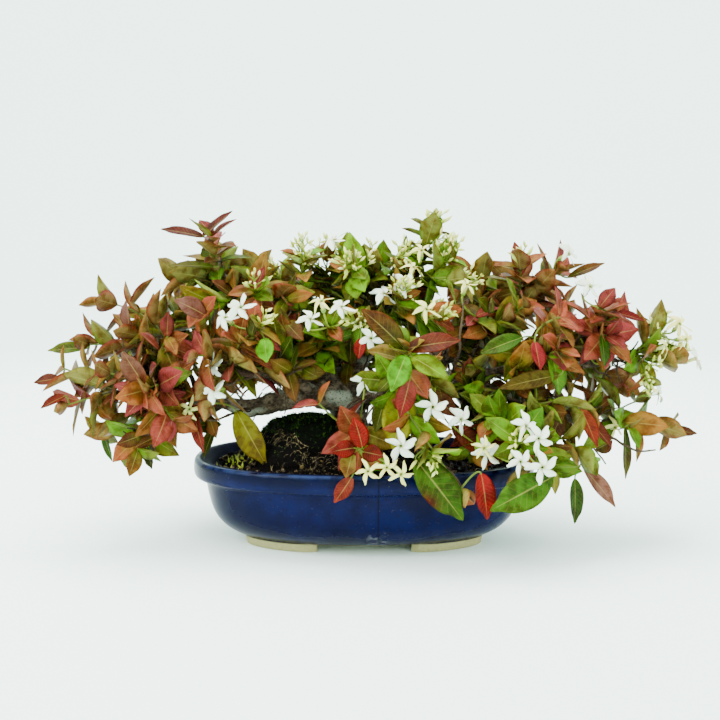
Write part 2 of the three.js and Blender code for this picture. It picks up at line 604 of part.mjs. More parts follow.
// Five points round the rim on both faces, the same triangles above and below, grown out of a loop of
// four points that runs round the leaf's root against the clock as seen from its tip
function growLeaf(points, triangles, loop, leaf) {
  const side = cross(leaf.normal, leaf.direction);
  const corners = [[-1, -1], [1, -1], [1, 1], [-1, 1]].map(([right, up]) =>
    plus(plus(leaf.base, side, right), leaf.normal, up));
  const [bl, br, tr, tl] = untwisted(points, loop, corners);
  const first = points.length;
  const rim = LEAF_RIM.map(([along, across]) => bladePoint(leaf, along, across));
  for (const face of [1, -1]) points.push(...rim.map((p) => plus(p, leaf.normal, face * BLADE / 2)));
  const [l1, l2, t, r2, r1] = [0, 1, 2, 3, 4].map((i) => first + i);
  const [m1, m2, u, s2, s1] = [5, 6, 7, 8, 9].map((i) => first + i);
  triangles.push([tl, l1, r1], [tl, r1, tr], [l1, l2, r2], [l1, r2, r1], [l2, t, r2]);
  triangles.push([bl, s1, m1], [bl, br, s1], [m1, s2, m2], [m1, s1, s2], [m2, s2, u]);
  triangles.push([bl, m1, l1], [bl, l1, tl], [m1, m2, l2], [m1, l2, l1], [m2, u, t], [m2, t, l2]);
  triangles.push([br, tr, r1], [br, r1, s1], [s1, r1, r2], [s1, r2, s2], [s2, r2, t], [s2, t, u]);
}

// A loose blade from a share of its length on, to test the room that it needs
function bladeSolid(leaf, root = 0) {
  const side = cross(leaf.normal, leaf.direction);
  const start = bladePoint(leaf, root, 0);
  const half = root > 0 ? 0.6 * leaf.halfWidth * root / 0.3 : 0.6;
  const points = [[-1, -1], [1, -1], [1, 1], [-1, 1]].map(([right, up]) =>
    plus(plus(start, side, half * right), leaf.normal, up * BLADE / 2));
  const triangles = [[0, 2, 1], [0, 3, 2]];
  growLeaf(points, triangles, [0, 1, 2, 3], { ...leaf, base: start });
  return solidOf(points, triangles);
}

function leafShare(route, pair) {
  return Math.min(0.28 + 0.72 * pair / (route.pairs - 1), 1 - NODE_LENGTH / 2 / route.run);
}

// Leaf pairs stand crosswise up a shoot, smaller and more upright at its tip, faces turned up and out
function leafAt(route, pair, side, attempt) {
  const draw = draws(shootSeed(route.name, route.j) + 211 * pair + 97 * side + 17 * attempt + 5);
  const rank = pair / (route.pairs - 1);
  const share = leafShare(route, pair);
  const along = route.direction(share);
  const loose = 1 + 0.25 * attempt;
  const quarter = (pair + 2 * side) % 4;
  const tilt = 1.15 - 0.3 * rank + (draw() - 0.5) * 0.5 * loose;
  const spread = sideNormal(route, share, quarter + (draw() - 0.5) * 0.57 * loose);
  const base = route.point(share);
  let direction = along.clone().multiplyScalar(Math.cos(tilt));
  direction = unit(plus(plus(direction, spread, Math.sin(tilt)), UP, -0.1 - 0.3 * draw() * (1 - rank)));
  const outward = unit(base.clone().sub(from(CENTRE)));
  let normal = plus(plus(plus(along, UP, 0.5), outward, 0.8), spread, -0.3);
  normal.add(drawnVector(draw).multiplyScalar(0.9));
  normal = unit(plus(normal, direction, -normal.dot(direction)));
  normal = unit(plus(normal, unit(plus(along, direction, -along.dot(direction))), FACE_PULL));
  const young = rank === 1 ? 0.68 : 1;
  const length = LEAF_LENGTH * young * (0.86 + 0.3 * draw());
  const halfWidth = LEAF_ASPECT * length * (0.88 + 0.24 * draw());
  const arch = 0.06 + 0.14 * draw();
  const fold = 0.2 + 0.35 * draw();
  return { base, origin: base, quarter, direction, normal, length, halfWidth, arch, fold };
}

// A large leaf goes from its stalk's end to its tip and faces up, out and a little to the front
function largeLeaf([base, tip, halfWidth]) {
  const start = from(base);
  const run = from(tip).sub(start);
  const direction = unit(run);
  const outward = unit(start.clone().sub(from(CENTRE)));
  let normal = plus(V(0, -0.55, 0.45), outward, 0.6);
  normal = unit(plus(normal, direction, -normal.dot(direction)));
  const length = run.length();
  return { base: start, origin: start, direction, normal, length, halfWidth, arch: 0.08, fold: 0.3 };
}

// The nodes of all shoots by their distance to a place, those that a stalk would leave against its
// heading counted as farther off
function nearestStem(routes, target, heading, rank = 0) {
  const spots = routes.flatMap((route) => nodeShares(route).map((share) => {
    const run = target.clone().sub(route.point(share));
    return { route, share, reach: run.length() * (1.7 - unit(run).dot(heading)) };
  }));
  return spots.sort((a, b) => a.reach - b.reach)[rank];
}

function stalk(spot, end, arrive, radii) {
  const root = spot.route.point(spot.share);
  const control = plus(end, arrive, -0.4 * root.distanceTo(end));
  const path = even(radii.length - 1, bend(root, control, end).point);
  return tube(path, radii, 3, arrive);
}

// A large leaf with its own square stalk, one body from the stem to the tip
function stalkedLeaf(spot, leaf) {
  const root = spot.route.point(spot.share);
  const [carried] = squareTo(unit(leaf.base.clone().sub(root)));
  const points = [0, 1].flatMap((share) => {
    const along = unit(plus(unit(leaf.base.clone().sub(root)), leaf.direction, 0.5 * share));
    const across = unit(plus(carried, along, -carried.dot(along)));
    const above = cross(along, across);
    const thick = share > 0 ? LEAF_STALK : SUNK_RADIUS / 2;
    return [[-1, -1], [1, -1], [1, 1], [-1, 1]].map(([right, up]) =>
      plus(plus(mix(root, leaf.base, share), across, right * thick), above, up * thick));
  });
  const triangles = [[0, 2, 1], [0, 3, 2]];
  for (let i = 0; i < 4; i += 1) {
    const j = (i + 1) % 4;
    triangles.push([i, j, 4 + j], [i, 4 + j, 4 + i]);
  }
  growLeaf(points, triangles, [4, 5, 6, 7], leaf);
  return solidOf(points, triangles);
}

// A flower: five oblique petals that turn like a pinwheel on a slim tube
function petalPoint(bloom, turn, along, across) {
  const spread = plus(bloom.first.clone().multiplyScalar(Math.cos(turn)), bloom.second, Math.sin(turn));
  const aside = cross(bloom.facing, spread);
  const half = PETAL_HALF_WIDTH * Math.sin(Math.PI * Math.min(1, 0.08 + 0.72 * along)) ** 0.8;
  const skew = 0.28 * PETAL_LENGTH * along * along;
  const lift = 0.9 * Math.sin(Math.PI * along) - 0.35 * across * half + 0.3;
  const reach = PETAL_LENGTH * (along + 0.08 * across * along);
  return plus(plus(plus(bloom.throat, spread, reach), aside, skew + half * across), bloom.facing, lift);
}

function bloomSolid(bloom) {
  const round = (turn, radius, lift) => plus(plus(plus(bloom.throat, bloom.first, radius * Math.cos(turn)),
    bloom.second, radius * Math.sin(turn)), bloom.facing, lift);
  const points = [round(0, 0, -0.4)];
  for (let k = 0; k < PETALS; k += 1) {
    const turn = bloom.spin + k * 2 * Math.PI / PETALS;
    const notch = turn - Math.PI / PETALS;
    points.push(round(notch, NOTCH_RADIUS, BLADE / 2), round(notch, NOTCH_RADIUS, -BLADE / 2));
    for (const [along, across] of PETAL_RIM) {
      const rim = petalPoint(bloom, turn, along, across);
      points.push(plus(rim, bloom.facing, BLADE / 2), plus(rim, bloom.facing, -BLADE / 2));
    }
    points.push(round(notch, TUBE_RADIUS, -TUBE_LENGTH));
  }
  const triangles = [];
  const stride = 7;
  const base = (k) => stride + stride * (k % PETALS);
  for (let k = 0; k < PETALS; k += 1) {
    const near = 1 + stride * k;
    const next = 1 + stride * ((k + 1) % PETALS);
    const rim = [near, near + 2, near + 4, next];
    triangles.push([0, near, next], [rim[0], rim[1], rim[2]], [rim[0], rim[2], rim[3]]);
    triangles.push([rim[0] + 1, rim[2] + 1, rim[1] + 1], [rim[0] + 1, rim[3] + 1, rim[2] + 1]);
    for (let i = 0; i < 3; i += 1) {
      triangles.push([rim[i] + 1, rim[i + 1] + 1, rim[i + 1]], [rim[i] + 1, rim[i + 1], rim[i]]);
    }
    triangles.push([base(k), base(k + 1), next + 1], [base(k), next + 1, near + 1]);
  }
  triangles.push([base(0), base(2), base(1)], [base(0), base(3), base(2)], [base(0), base(4), base(3)]);
  return solidOf(points, triangles);
}

// A flower faces outwards and to its nearer side, and each try nudges it to another place
function bloomAt(throat, number, attempt) {
  const draw = draws(60013 + 401 * number + 7 * attempt);
  const outward = unit(throat.clone().sub(from(CENTRE)));
  const front = throat.y < 20 ? V(0, -0.7, 0.3) : V(0, 0.4, 0.5);
  const sway = drawnVector(draw);
  const facing = unit(plus(plus(front, outward, 0.6), sway, 0.8));
  const [first, second] = squareTo(facing);
  const nudge = drawnVector(draw).multiplyScalar(0.4 * attempt);
  return { throat: plus(throat, nudge), facing, first, second, spin: draw() * 6 };
}

// Wood, soil, moss, pot and screens come first, and everything green keeps clear of them
const holes = ROOTED.map((name) => limbTube(name, HOLE_CLEARANCE)).reduce((all, one) => all.add(one));
const trunk = wasm.Manifold.union([...Object.keys(LIMBS).map((name) => limbTube(name)),
  ...Object.keys(SPRAYS).map(twig)]);
const solids = { pot: potSolid(), soil: soilSolid().subtract(holes) };
solids.moss = mossSolid(soilSolid(SOIL_LIFT), holes);
solids.drain_screen_left = screenSolid(-DRAIN_X);
solids.drain_screen_right = screenSolid(DRAIN_X);
solids.trunk = trunk.simplify(FLAT);
Object.entries(solids).forEach(([name, solid]) => place(name, solid));

// Stems of all sprays, then the flowers on their stalks, then buds, large leaves and leaf pairs
const routes = Object.keys(SPRAYS).flatMap(routeShoots);

BLOOMS.forEach((spots, number) => {
  const node = `bloom_${String(number + 1).padStart(2, '0')}`;
  const throats = spots.length > 3 ? [spots.slice(0, 3), spots.slice(3)] : [spots];
  for (let attempt = 0; attempt < BLOOM_TRIES; attempt += 1) {
    const blooms = throats.map((throat, k) => bloomAt(from(throat), number * 2 + k, attempt));
    const solid = blooms.map(bloomSolid).reduce((all, one) => all.add(one));
    if (solid.decompose().length > 1 || !isClear(solid, () => false)) continue;
    const { throat, facing } = blooms[0];
    const spot = nearestStem(routes, plus(throat, facing, -TUBE_LENGTH), facing, attempt % 3);
    const calyx = plus(throat, facing, -TUBE_LENGTH - JOIN_GAP);
    const stem = stalk(spot, calyx, facing, STALK_RADII);
    if (!isClear(stem, (other) => other.node === spot.route.name)) continue;
    if (stem.minGap(solid, 1) < CLEAR) continue;
    place(node, solid);
    place(spot.route.name, stem);
    solids[node] = solid;
    return;
  }
});

// A bud on its stalk, in a ring of them round the tip of a shoot
function budSolid(route, k, attempt) {
  const draw = draws(shootSeed(route.name, route.j) + 503 * k + 11 * attempt + 3);
  const along = route.direction(1);
  const [first, second] = squareTo(along);
  const turn = k * 2 * Math.PI / route.buds + draw() * 1.2;
  const spread = plus(first.clone().multiplyScalar(Math.cos(turn)), second, Math.sin(turn));
  const lean = unit(plus(plus(along, spread, 0.45 + 0.5 * draw()), UP, 0.3));
  const root = route.point(leafShare(route, route.pairs - 1));
  const reach = 4 + 4 * draw();
  const points = [0, reach + 0.5 * BUD_LENGTH, reach + BUD_LENGTH].map((run) => plus(root, lean, run));
  return tube(points, [0.35, BUD_RADIUS, 0.3], 3);
}

// Tries a piece several ways and keeps the first that is clear of every other node, and whose outer
// part, past its root in its own stem, is clear of the leaves and stems of its own spray too
function keepFirstClear(name, tries, make) {
  for (let attempt = 0; attempt < tries; attempt += 1) {
    const piece = make(attempt);
    const foreign = isClear(piece.whole, (other) => other.node === name);
    if (foreign && (!piece.outer || isClear(piece.outer, () => false))) {
      place(name, piece.whole, piece.leaf !== undefined);
      return piece;
    }
  }
  return null;
}

routes.forEach((route) => {
  for (let k = 0; k < route.buds; k += 1) {
    keepFirstClear(route.name, BUD_TRIES, (attempt) => ({ whole: budSolid(route, k, attempt) }));
  }
});

LARGE_LEAVES.forEach((entry) => {
  const leaf = largeLeaf(entry);
  for (let rank = 0; rank < STALK_TRIES; rank += 1) {
    const spot = nearestStem(routes, leaf.base, leaf.direction, rank);
    const name = spot.route.name;
    const whole = stalkedLeaf(spot, leaf);
    if (isClear(whole, (other) => other.node === name)) {
      place(name, whole);
      return;
    }
  }
});

// A leaf pair at each node but the fork
routes.forEach((route) => {
  const kept = route.j === 0 ? [route.pairs - 3, route.pairs - 1] : [route.pairs - 1];
  kept.reverse().forEach((pair) => {
    const node = route.nodes.find(({ share }) => share === leafShare(route, pair));
    for (const side of [0, 1]) {
      const done = keepFirstClear(route.name, LEAF_TRIES, (attempt) => {
        const leaf = leafAt(route, pair, side, attempt);
        return { whole: bladeSolid(leaf), outer: bladeSolid(leaf, LEAF_ROOT), leaf };
      });
      if (done) node.sides[done.leaf.quarter] = done.leaf;
    }
  });
});

// Each spray is one body: its stems, stalks, buds and leaves joined
Object.keys(SPRAYS).forEach((name) => {
  const [leader, ...others] = routes.filter((route) => route.name === name);
  const bare = [leader, ...others].map((route) => route.solid);
  const rest = placed.filter((other) => other.node === name && !other.grown && !bare.includes(other.solid));
  const whole = wasm.Manifold.union([shootSolid(leader), ...rest.map((other) => other.solid)]);
  solids[`spray_${name}`] = largest(whole.simplify(FLAT));
});

function finishOf(name) {
  if (name.startsWith('spray_')) return COLOURS.leaf;
  if (name.startsWith('bloom_')) return COLOURS.petal;
  if (name.startsWith('drain_')) return COLOURS.screen;
  return { pot: COLOURS.glaze, soil: COLOURS.soil, moss: COLOURS.moss, trunk: COLOURS.bark }[name];
}

// The geometry with its near points merged, without the loose scraps and sealed hollows of a join
function meshOf(name, solid) {
  const loose = geometryOf(solid);
  const merged = mergeVertices(loose, MERGE);
  const vertProperties = Float32Array.from(merged.getAttribute('position').array);
  const triVerts = Uint32Array.from(merged.getIndex().array);
  const joined = new wasm.Manifold(new wasm.Mesh({ numProp: 3, vertProperties, triVerts }));
  const geometry = geometryOf(largest(joined));
  geometry.computeVertexNormals();
  const [color, roughness] = finishOf(name);
  const mesh = new THREE.Mesh(geometry, new THREE.MeshStandardMaterial({ color, roughness, metalness: 0 }));
  mesh.name = name;
  return mesh;
}

function geometryOf(solid) {
  const { vertProperties, triVerts } = solid.getMesh();
  const geometry = new THREE.BufferGeometry();
  geometry.setAttribute('position', new THREE.BufferAttribute(Float32Array.from(vertProperties), 3));
  geometry.setIndex(Array.from(triVerts));
  return geometry;
}

// The origin is at the middle of the whole bonsai's box, at the base of the feet
const boxes = Object.values(solids).map((solid) => solid.boundingBox());
const centreOf = (axis) => (Math.min(...boxes.map((one) => one.min[axis]))
  + Math.max(...boxes.map((one) => one.max[axis]))) / 2;
const shift = [-centreOf(0), -centreOf(1), 0];
const bonsai = new THREE.Group();
Object.entries(solids).forEach(([name, solid]) => bonsai.add(meshOf(name, solid.translate(shift))));

export default bonsai;
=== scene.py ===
import bpy
import numpy as np
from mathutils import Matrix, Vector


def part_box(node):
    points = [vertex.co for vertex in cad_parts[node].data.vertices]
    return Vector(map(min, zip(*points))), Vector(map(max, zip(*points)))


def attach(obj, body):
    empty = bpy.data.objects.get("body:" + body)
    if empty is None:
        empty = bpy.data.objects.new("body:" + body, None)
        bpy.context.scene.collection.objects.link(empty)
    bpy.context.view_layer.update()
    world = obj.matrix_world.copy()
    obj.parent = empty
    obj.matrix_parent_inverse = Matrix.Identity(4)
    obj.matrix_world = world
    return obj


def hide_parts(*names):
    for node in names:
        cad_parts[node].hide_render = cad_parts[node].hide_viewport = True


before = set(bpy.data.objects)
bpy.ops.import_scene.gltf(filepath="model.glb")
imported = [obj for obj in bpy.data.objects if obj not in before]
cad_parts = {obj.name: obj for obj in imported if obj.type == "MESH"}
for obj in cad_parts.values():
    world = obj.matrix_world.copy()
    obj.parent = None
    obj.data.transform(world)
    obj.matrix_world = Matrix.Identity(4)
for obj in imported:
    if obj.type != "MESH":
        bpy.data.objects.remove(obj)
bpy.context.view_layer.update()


# The pot is one oval of stoneware on four low feet, with a proud band under its lip and two drain holes.
# It is dipped in a cobalt glaze that runs darker in patches and over the lip, and pales along the lip's
# worn edge. Its feet are wiped bare.
MM = 0.001
TONE_DEPTH = 1.5
POT_LENGTH, POT_DEPTH = 210, 150
OVAL_POWER = 2.3
POT_OUTLINE = [
    (31, 4.6), (25.5, 6.5), (18, 11), (11.5, 19), (8, 33), (7.4, 39.5), (3.4, 40.2), (1, 41.2), (0, 43.5),
    (0, 49), (0.8, 51.6), (2.4, 52), (6, 52), (8, 50.8), (12, 47), (18.5, 16), (31, 10),
]
POT_ROUND = 160
FOOT_REACH = (0.17, 0.78)
FOOT_INSET, FOOT_HALF_WIDTH, FOOT_TOP = 33, 4, 5.4
FOOT_SECTION = [(-0.82, 0), (0.82, 0), (1, 0.6), (1.25, FOOT_TOP), (-1.25, FOOT_TOP), (-1, 0.6)]
DRAIN_X, DRAIN_RADIUS = 40, 6
GLAZE_RUN_X = 8

pot_low, pot_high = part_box("pot")
POT_MIDDLE = np.array([pot_low.x + pot_high.x, pot_low.y + pot_high.y, 0]) / 2


def unit(vectors):
    """Vectors divided by their own length."""
    vectors = np.asarray(vectors, float)
    return vectors / np.maximum(np.linalg.norm(vectors, axis=-1, keepdims=True), 1e-12)


def soften(outline, rounds):
    """Cuts each corner of an open outline at a quarter and three quarters of its sides, a few times."""
    line = np.asarray(outline, float)
    for _ in range(rounds):
        cuts = np.stack([line[:-1] * 0.75 + line[1:] * 0.25, line[:-1] * 0.25 + line[1:] * 0.75], axis=1)
        line = np.concatenate([line[:1], cuts.reshape(-1, line.shape[1]), line[-1:]])
    return line


def oval(turn, inset, height):
    """A point of the pot's oval: |x / a|^p + |y / b|^p = 1, with both half lengths less the inset."""
    turn, inset, height = np.broadcast_arrays(turn, inset, height)
    cosine, sine = np.cos(turn), np.sin(turn)
    x = (POT_LENGTH / 2 - inset) * np.sign(cosine) * np.abs(cosine) ** (2 / OVAL_POWER)
    y = (POT_DEPTH / 2 - inset) * np.sign(sine) * np.abs(sine) ** (2 / OVAL_POWER)
    return np.stack([x, y, height], axis=-1)


def round_turns(count):
    """Evenly spaced angles of one whole turn."""
    return np.arange(count) * 2 * np.pi / count


def grid_faces(rows, columns, closed=False):
    """Quads of a grid of points numbered row by row; closed joins the last column to the first."""
    row, column = np.meshgrid(np.arange(rows - 1), np.arange(columns - (not closed)), indexing="ij")
    after = (column + 1) % columns
    corners = [row * columns + column, row * columns + after,
               (row + 1) * columns + after, (row + 1) * columns + column]
    return np.stack(corners, axis=-1).reshape(-1, 4)


def closed_rings(rings):
    """Rings of points (copies, rows, columns, 3) joined one to the next, with a middle point at each end."""
    count, rows, columns, _ = rings.shape
    ends = [rings[:, :1].mean(axis=2), rings[:, -1:].mean(axis=2)]
    points = np.concatenate([rings.reshape(count, -1, 3), *ends], axis=1)
    here = np.arange(columns)
    after = (here + 1) % columns
    last = (rows - 1) * columns
    first_fan = np.stack([after, here, np.full(columns, rows * columns)], axis=-1)
    last_fan = np.stack([last + here, last + after, np.full(columns, rows * columns + 1)], axis=-1)
    blocks = [grid_faces(rows, columns, closed=True), first_fan, last_fan]
    shape = {"points": points.reshape(-1, 3)}
    shape["faces"] = [copied(block, count, points.shape[1]) for block in blocks]
    return shape


def copied(faces, count, stride):
    """The same faces for each of several copies whose points lie one after the other."""
    return (faces[None] + stride * np.arange(count)[:, None, None]).reshape(-1, faces.shape[1])


def joined(shapes):
    """One shape from several: points and values one after the other, faces renumbered."""
    starts = np.cumsum([0] + [len(shape["points"]) for shape in shapes[:-1]])
    whole = {key: np.concatenate([shape[key] for shape in shapes]) for key in shapes[0] if key != "faces"}
    whole["faces"] = [block + start for shape, start in zip(shapes, starts) for block in shape["faces"]]
    return whole


def placed(points):
    """Millimetres from the middle of the pot's foot, turned into the frame's metres."""
    return np.asarray(points) * MM + POT_MIDDLE


def write_points(mesh, points):
    """Puts points in millimetres into a mesh that has as many."""
    mesh.vertices.foreach_set("co", placed(points).astype(np.float32).ravel())


def paint_points(mesh, colours):
    """Writes one colour for each point of a mesh as its tint."""
    opaque = np.concatenate([colours, np.ones((len(colours), 1))], axis=1).astype(np.float32)
    mesh.color_attributes.new("tint", "FLOAT_COLOR", "POINT").data.foreach_set("color", opaque.ravel())


def new_mesh_object(name, shape):
    """A mesh object of a shape's points and faces, with its UV map and tint where it has them."""
    mesh = bpy.data.meshes.new(name)
    corners = np.concatenate([block.ravel() for block in shape["faces"]]).astype(np.int32)
    sizes = np.concatenate([np.full(len(block), block.shape[1]) for block in shape["faces"]])
    mesh.vertices.add(len(shape["points"]))
    write_points(mesh, shape["points"])
    mesh.loops.add(len(corners))
    mesh.loops.foreach_set("vertex_index", corners)
    mesh.polygons.add(len(sizes))
    mesh.polygons.foreach_set("loop_start", (np.cumsum(sizes) - sizes).astype(np.int32))
    mesh.polygons.foreach_set("use_smooth", np.ones(len(sizes), bool))
    if "uv" in shape:
        uv = shape["uv"][corners].astype(np.float32)
        mesh.uv_layers.new(name="UVMap").data.foreach_set("uv", uv.ravel())
    if "tint" in shape:
        paint_points(mesh, shape["tint"])
    mesh.update(calc_edges=True)
    thing = bpy.data.objects.new(name, mesh)
    bpy.context.scene.collection.objects.link(thing)
    return thing


def finish_piece(piece, material, slot, *nodes):
    """Gives a piece its material and lets it ride on the part in place of some CAD nodes; the slot is not
    used.
    """
    piece.data.materials.clear()
    piece.data.materials.append(material)
    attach(piece, "root")
    if nodes:
        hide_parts(*nodes)


def keep_modified(piece):
    """Makes what the piece's modifiers show its own mesh, shaded smooth."""
    made = bpy.data.meshes.new_from_object(piece.evaluated_get(bpy.context.evaluated_depsgraph_get()))
    made.polygons.foreach_set("use_smooth", np.ones(len(made.polygons), bool))
    piece.modifiers.clear()
    piece.data = made


def tone(code):
    """A linear colour from the hexadecimal code of a screen colour, deepened for the bright studio."""
    screen = np.array([int(code[i:i + 2], 16) for i in (0, 2, 4)]) / 255
    return np.where(screen <= 0.04045, screen / 12.92, ((screen + 0.055) / 1.055) ** 2.4) ** TONE_DEPTH


def tones(codes):
    """The tones of several codes, one to a row."""
    return np.stack([tone(code) for code in codes])


def shade(code):
    """A tone with an opaque fourth value, as a colour socket takes it."""
    return (*tone(code), 1)


def mixed(first, second, share):
    """The first value where a share is 0, the second where it is 1, and a mix of both between."""
    return first * (1 - share) + second * share


def add_node(tree, kind, inputs=(), **settings):
    """A shader node with its settings, and its inputs set or linked by name or number."""
    node = tree.nodes.new("ShaderNode" + kind)
    for key, value in settings.items():
        setattr(node, key, value)
    for key, value in dict(inputs).items():
        if isinstance(value, bpy.types.NodeSocket):
            tree.links.new(value, node.inputs[key])
        else:
            node.inputs[key].default_value = value
    return node


def noise(tree, position, scale, detail):
    """The value of a noise texture, features 1 / scale metres wide."""
    return add_node(tree, "TexNoise", {"Vector": position, "Scale": scale, "Detail": detail}).outputs["Fac"]


def ramp(tree, value, low, high):
    """0 below low, 1 above high and a smooth rise between; the other way round where low is the larger."""
    node = add_node(tree, "MapRange", {"Value": value, "From Min": low, "From Max": high},
                    interpolation_type="SMOOTHSTEP")
    return node.outputs["Result"]


def calc(tree, operation, *values):
    """One step of arithmetic on sockets or numbers."""
    return add_node(tree, "Math", enumerate(values), operation=operation).outputs[0]


def both(tree, first, second):
    """Two shares multiplied."""
    return calc(tree, "MULTIPLY", first, second)


def blended(tree, share, first, second, mode="MIX"):
    """Two colours mixed by a share, or in another blend mode."""
    node = add_node(tree, "Mix", {0: share, 6: first, 7: second}, data_type="RGBA", blend_type=mode)
    return node.outputs[2]


def bumped(tree, height, distance, strength):
    """Normals of a surface raised by a height between 0 and 1 times a distance in metres."""
    node = add_node(tree, "Bump", {"Height": height, "Distance": distance, "Strength": strength})
    return node.outputs["Normal"]


def new_material(name, **values):
    """A material's node tree, its shader with plain values set, and its Object coordinates."""
    material = bpy.data.materials.new(name)
    material.use_nodes = True
    tree = material.node_tree
    shader = tree.nodes["Principled BSDF"]
    for key, value in values.items():
        shader.inputs[key.replace("_", " ")].default_value = value
    return material, tree, shader, tree.nodes.new("ShaderNodeTexCoord").outputs["Object"]


def link(tree, shader, **sockets):
    """Links sockets to the shader's inputs."""
    for key, socket in sockets.items():
        tree.links.new(socket, shader.inputs[key.replace("_", " ")])


def new_group(name, inputs, outputs):
    """An empty node group with named sockets: its tree, what enters it and what leaves it."""
    group = bpy.data.node_groups.new(name, "ShaderNodeTree")
    for socket, kind in inputs.items():
        group.interface.new_socket(socket, in_out="INPUT", socket_type="NodeSocket" + kind)
    for socket in outputs:
        group.interface.new_socket(socket, in_out="OUTPUT", socket_type="NodeSocketFloat")
    return group, group.nodes.new("NodeGroupInput").outputs, group.nodes.new("NodeGroupOutput").inputs


def speckle_group():
    """A pattern that most of the finishes share: a noise, and how far it has risen between two values."""
    inputs = {"Place": "Vector", "Scale": "Float", "Detail": "Float", "From": "Float", "To": "Float"}
    group, given, leave = new_group("speckle", inputs, ("Noise", "Specks"))
    value = noise(group, given["Place"], given["Scale"], given["Detail"])
    group.links.new(value, leave["Noise"])
    group.links.new(ramp(group, value, given["From"], given["To"]), leave["Specks"])
    return group


speckle = speckle_group()


def speckled(tree, place, scale, detail, low, high):
    """The shared speckle with a finish's own values: its noise, and its specks between low and high."""
    values = {"Place": place, "Scale": scale, "Detail": detail, "From": low, "To": high}
    return add_node(tree, "Group", values, node_tree=speckle).outputs


def pot_shell():
    """The pot's softened outline as rings round the oval, from the middle of the base over the lip and
    down to the middle of the floor."""
    outline = soften(POT_OUTLINE, 2)
    rings = oval(round_turns(POT_ROUND)[None], outline[:, :1], outline[:, 1:])
    return closed_rings(rings[None])


def pot_feet():
    """Four feet along the oval: a section that widens upwards, drawn in to round ends by
    (1 - |2 s - 1|^5)^0.5."""
    share = np.linspace(0, 1, 25)
    reach = (FOOT_REACH[0] + (FOOT_REACH[1] - FOOT_REACH[0]) * share) * np.pi / 2
    half = FOOT_HALF_WIDTH * (1 - np.abs(2 * share - 1) ** 5) ** 0.5 + 0.3
    feet = []
    for quarter, turn in enumerate((reach, np.pi - reach, np.pi + reach, 2 * np.pi - reach)):
        section = FOOT_SECTION[::-1] if quarter % 2 else FOOT_SECTION
        feet.append(np.stack([oval(turn, FOOT_INSET + half * width, height) for width, height in section],
                             axis=1))
    return closed_rings(np.stack(feet))


def drain_drills():
    """Two upright cylinders through the floor."""
    turn = round_turns(36)
    circle = np.stack([DRAIN_RADIUS * np.cos(turn), DRAIN_RADIUS * np.sin(turn), 0 * turn], axis=-1)
    places = [[[side * DRAIN_X, 0, height] for height in (-1, 20)] for side in (-1, 1)]
    return closed_rings(np.array(places, float)[:, :, None] + circle)


def oval_reach(tree, across, back):
    """How far out a place is on the pot's oval: |x / a|^p + |y / b|^p, 1 at the lip's outer edge."""
    terms = []
    for value, middle, size in ((across, POT_MIDDLE[0], POT_LENGTH), (back, POT_MIDDLE[1], POT_DEPTH)):
        share = calc(tree, "DIVIDE", calc(tree, "SUBTRACT", value, middle), size / 2 * MM)
        terms.append(calc(tree, "POWER", calc(tree, "ABSOLUTE", share), OVAL_POWER))
    return calc(tree, "ADD", *terms)


def cobalt_glaze():
    """Cobalt glaze in two depths, under coats that are each a mask, the most that it covers, and a colour:
    pale and dark specks, the band, the lip, its worn edge, painted shade on the inner wall, one dark run of
    glaze with a lime stain beside it, and soil splashes. All but clean glaze is rougher, and the feet are
    bare clay."""
    material, tree, shader, place = new_material("cobalt_glaze", Specular_IOR_Level=0.06)
    across, back, height = add_node(tree, "SeparateXYZ", {0: place}).outputs

    def rise(distance, low, high):
        return ramp(tree, distance, low * MM, high * MM)

    cloud, bright = speckled(tree, place, 38, 5, 0.38, 0.66)
    grain, pale_specks = speckled(tree, place, 520, 3, 0.6, 0.8)
    dark_specks = ramp(tree, grain, 0.42, 0.3)
    far_out = oval_reach(tree, across, back)
    band = both(tree, rise(height, 40.5, 42.5), rise(height, 46, 43.5))
    lip = rise(height, 44.5, 48)
    wear = both(tree, rise(height, 49.5, 51.8), speckled(tree, place, 160, 4, 0.34, 0.62)[1])
    wear = both(tree, wear, ramp(tree, far_out, 0.9, 0.95))
    # inside: the inner wall above the soil, darkened by painted shade in the coats below and made rougher
    inside = both(tree, rise(height, 44.5, 46), ramp(tree, far_out, 0.94, 0.9))
    front = rise(back, -30, -45)
    beside = calc(tree, "ABSOLUTE", calc(tree, "SUBTRACT", across, POT_MIDDLE[0] + GLAZE_RUN_X * MM))
    run = both(tree, rise(beside, 0.8, 0.2), front)
    stain = both(tree, both(tree, rise(beside, 8, 1), rise(height, 18, 9)), front)
    stain = both(tree, stain, speckled(tree, place, 240, 5, 0.48, 0.64)[1])
    splash = both(tree, speckled(tree, place, 700, 2, 0.68, 0.74)[1], ramp(tree, cloud, 0.45, 0.6))
    # The inside coat, 0d163a, is painted shade on the inner wall.
    coats = [
        (pale_specks, 0.3, "2c3d68"), (dark_specks, 0.4, "0e1228"), (band, 0.15, "2a3b68"),
        (lip, 0.5, "111830"), (wear, 0.45, "55658c"), (inside, 0.5, "0d163a"), (run, 0.75, "0a0f2a"),
        (stain, 0.6, "a9adb0"), (splash, 0.6, "5a5148"),
    ]
    glaze = blended(tree, bright, shade("131b46"), shade("1b2759"))
    for mask, most, code in coats:
        glaze = blended(tree, both(tree, mask, most), glaze, shade(code))
    bare = rise(height, 5.6, 4.6)
    clay = blended(tree, grain, shade("a8a27c"), shade("c6bf98"))
    matt = bare
    for mask in (splash, stain, inside):
        matt = calc(tree, "MAXIMUM", matt, mask)
    rough = calc(tree, "ADD", 0.26, both(tree, calc(tree, "ADD", matt, both(tree, wear, 0.3)), 0.6))
    relief = calc(tree, "ADD", cloud, both(tree, grain, 0.12))
    link(tree, shader, Base_Color=blended(tree, bare, glaze, clay), Roughness=rough,
         Normal=bumped(tree, relief, 0.0006, 0.35))
    return material


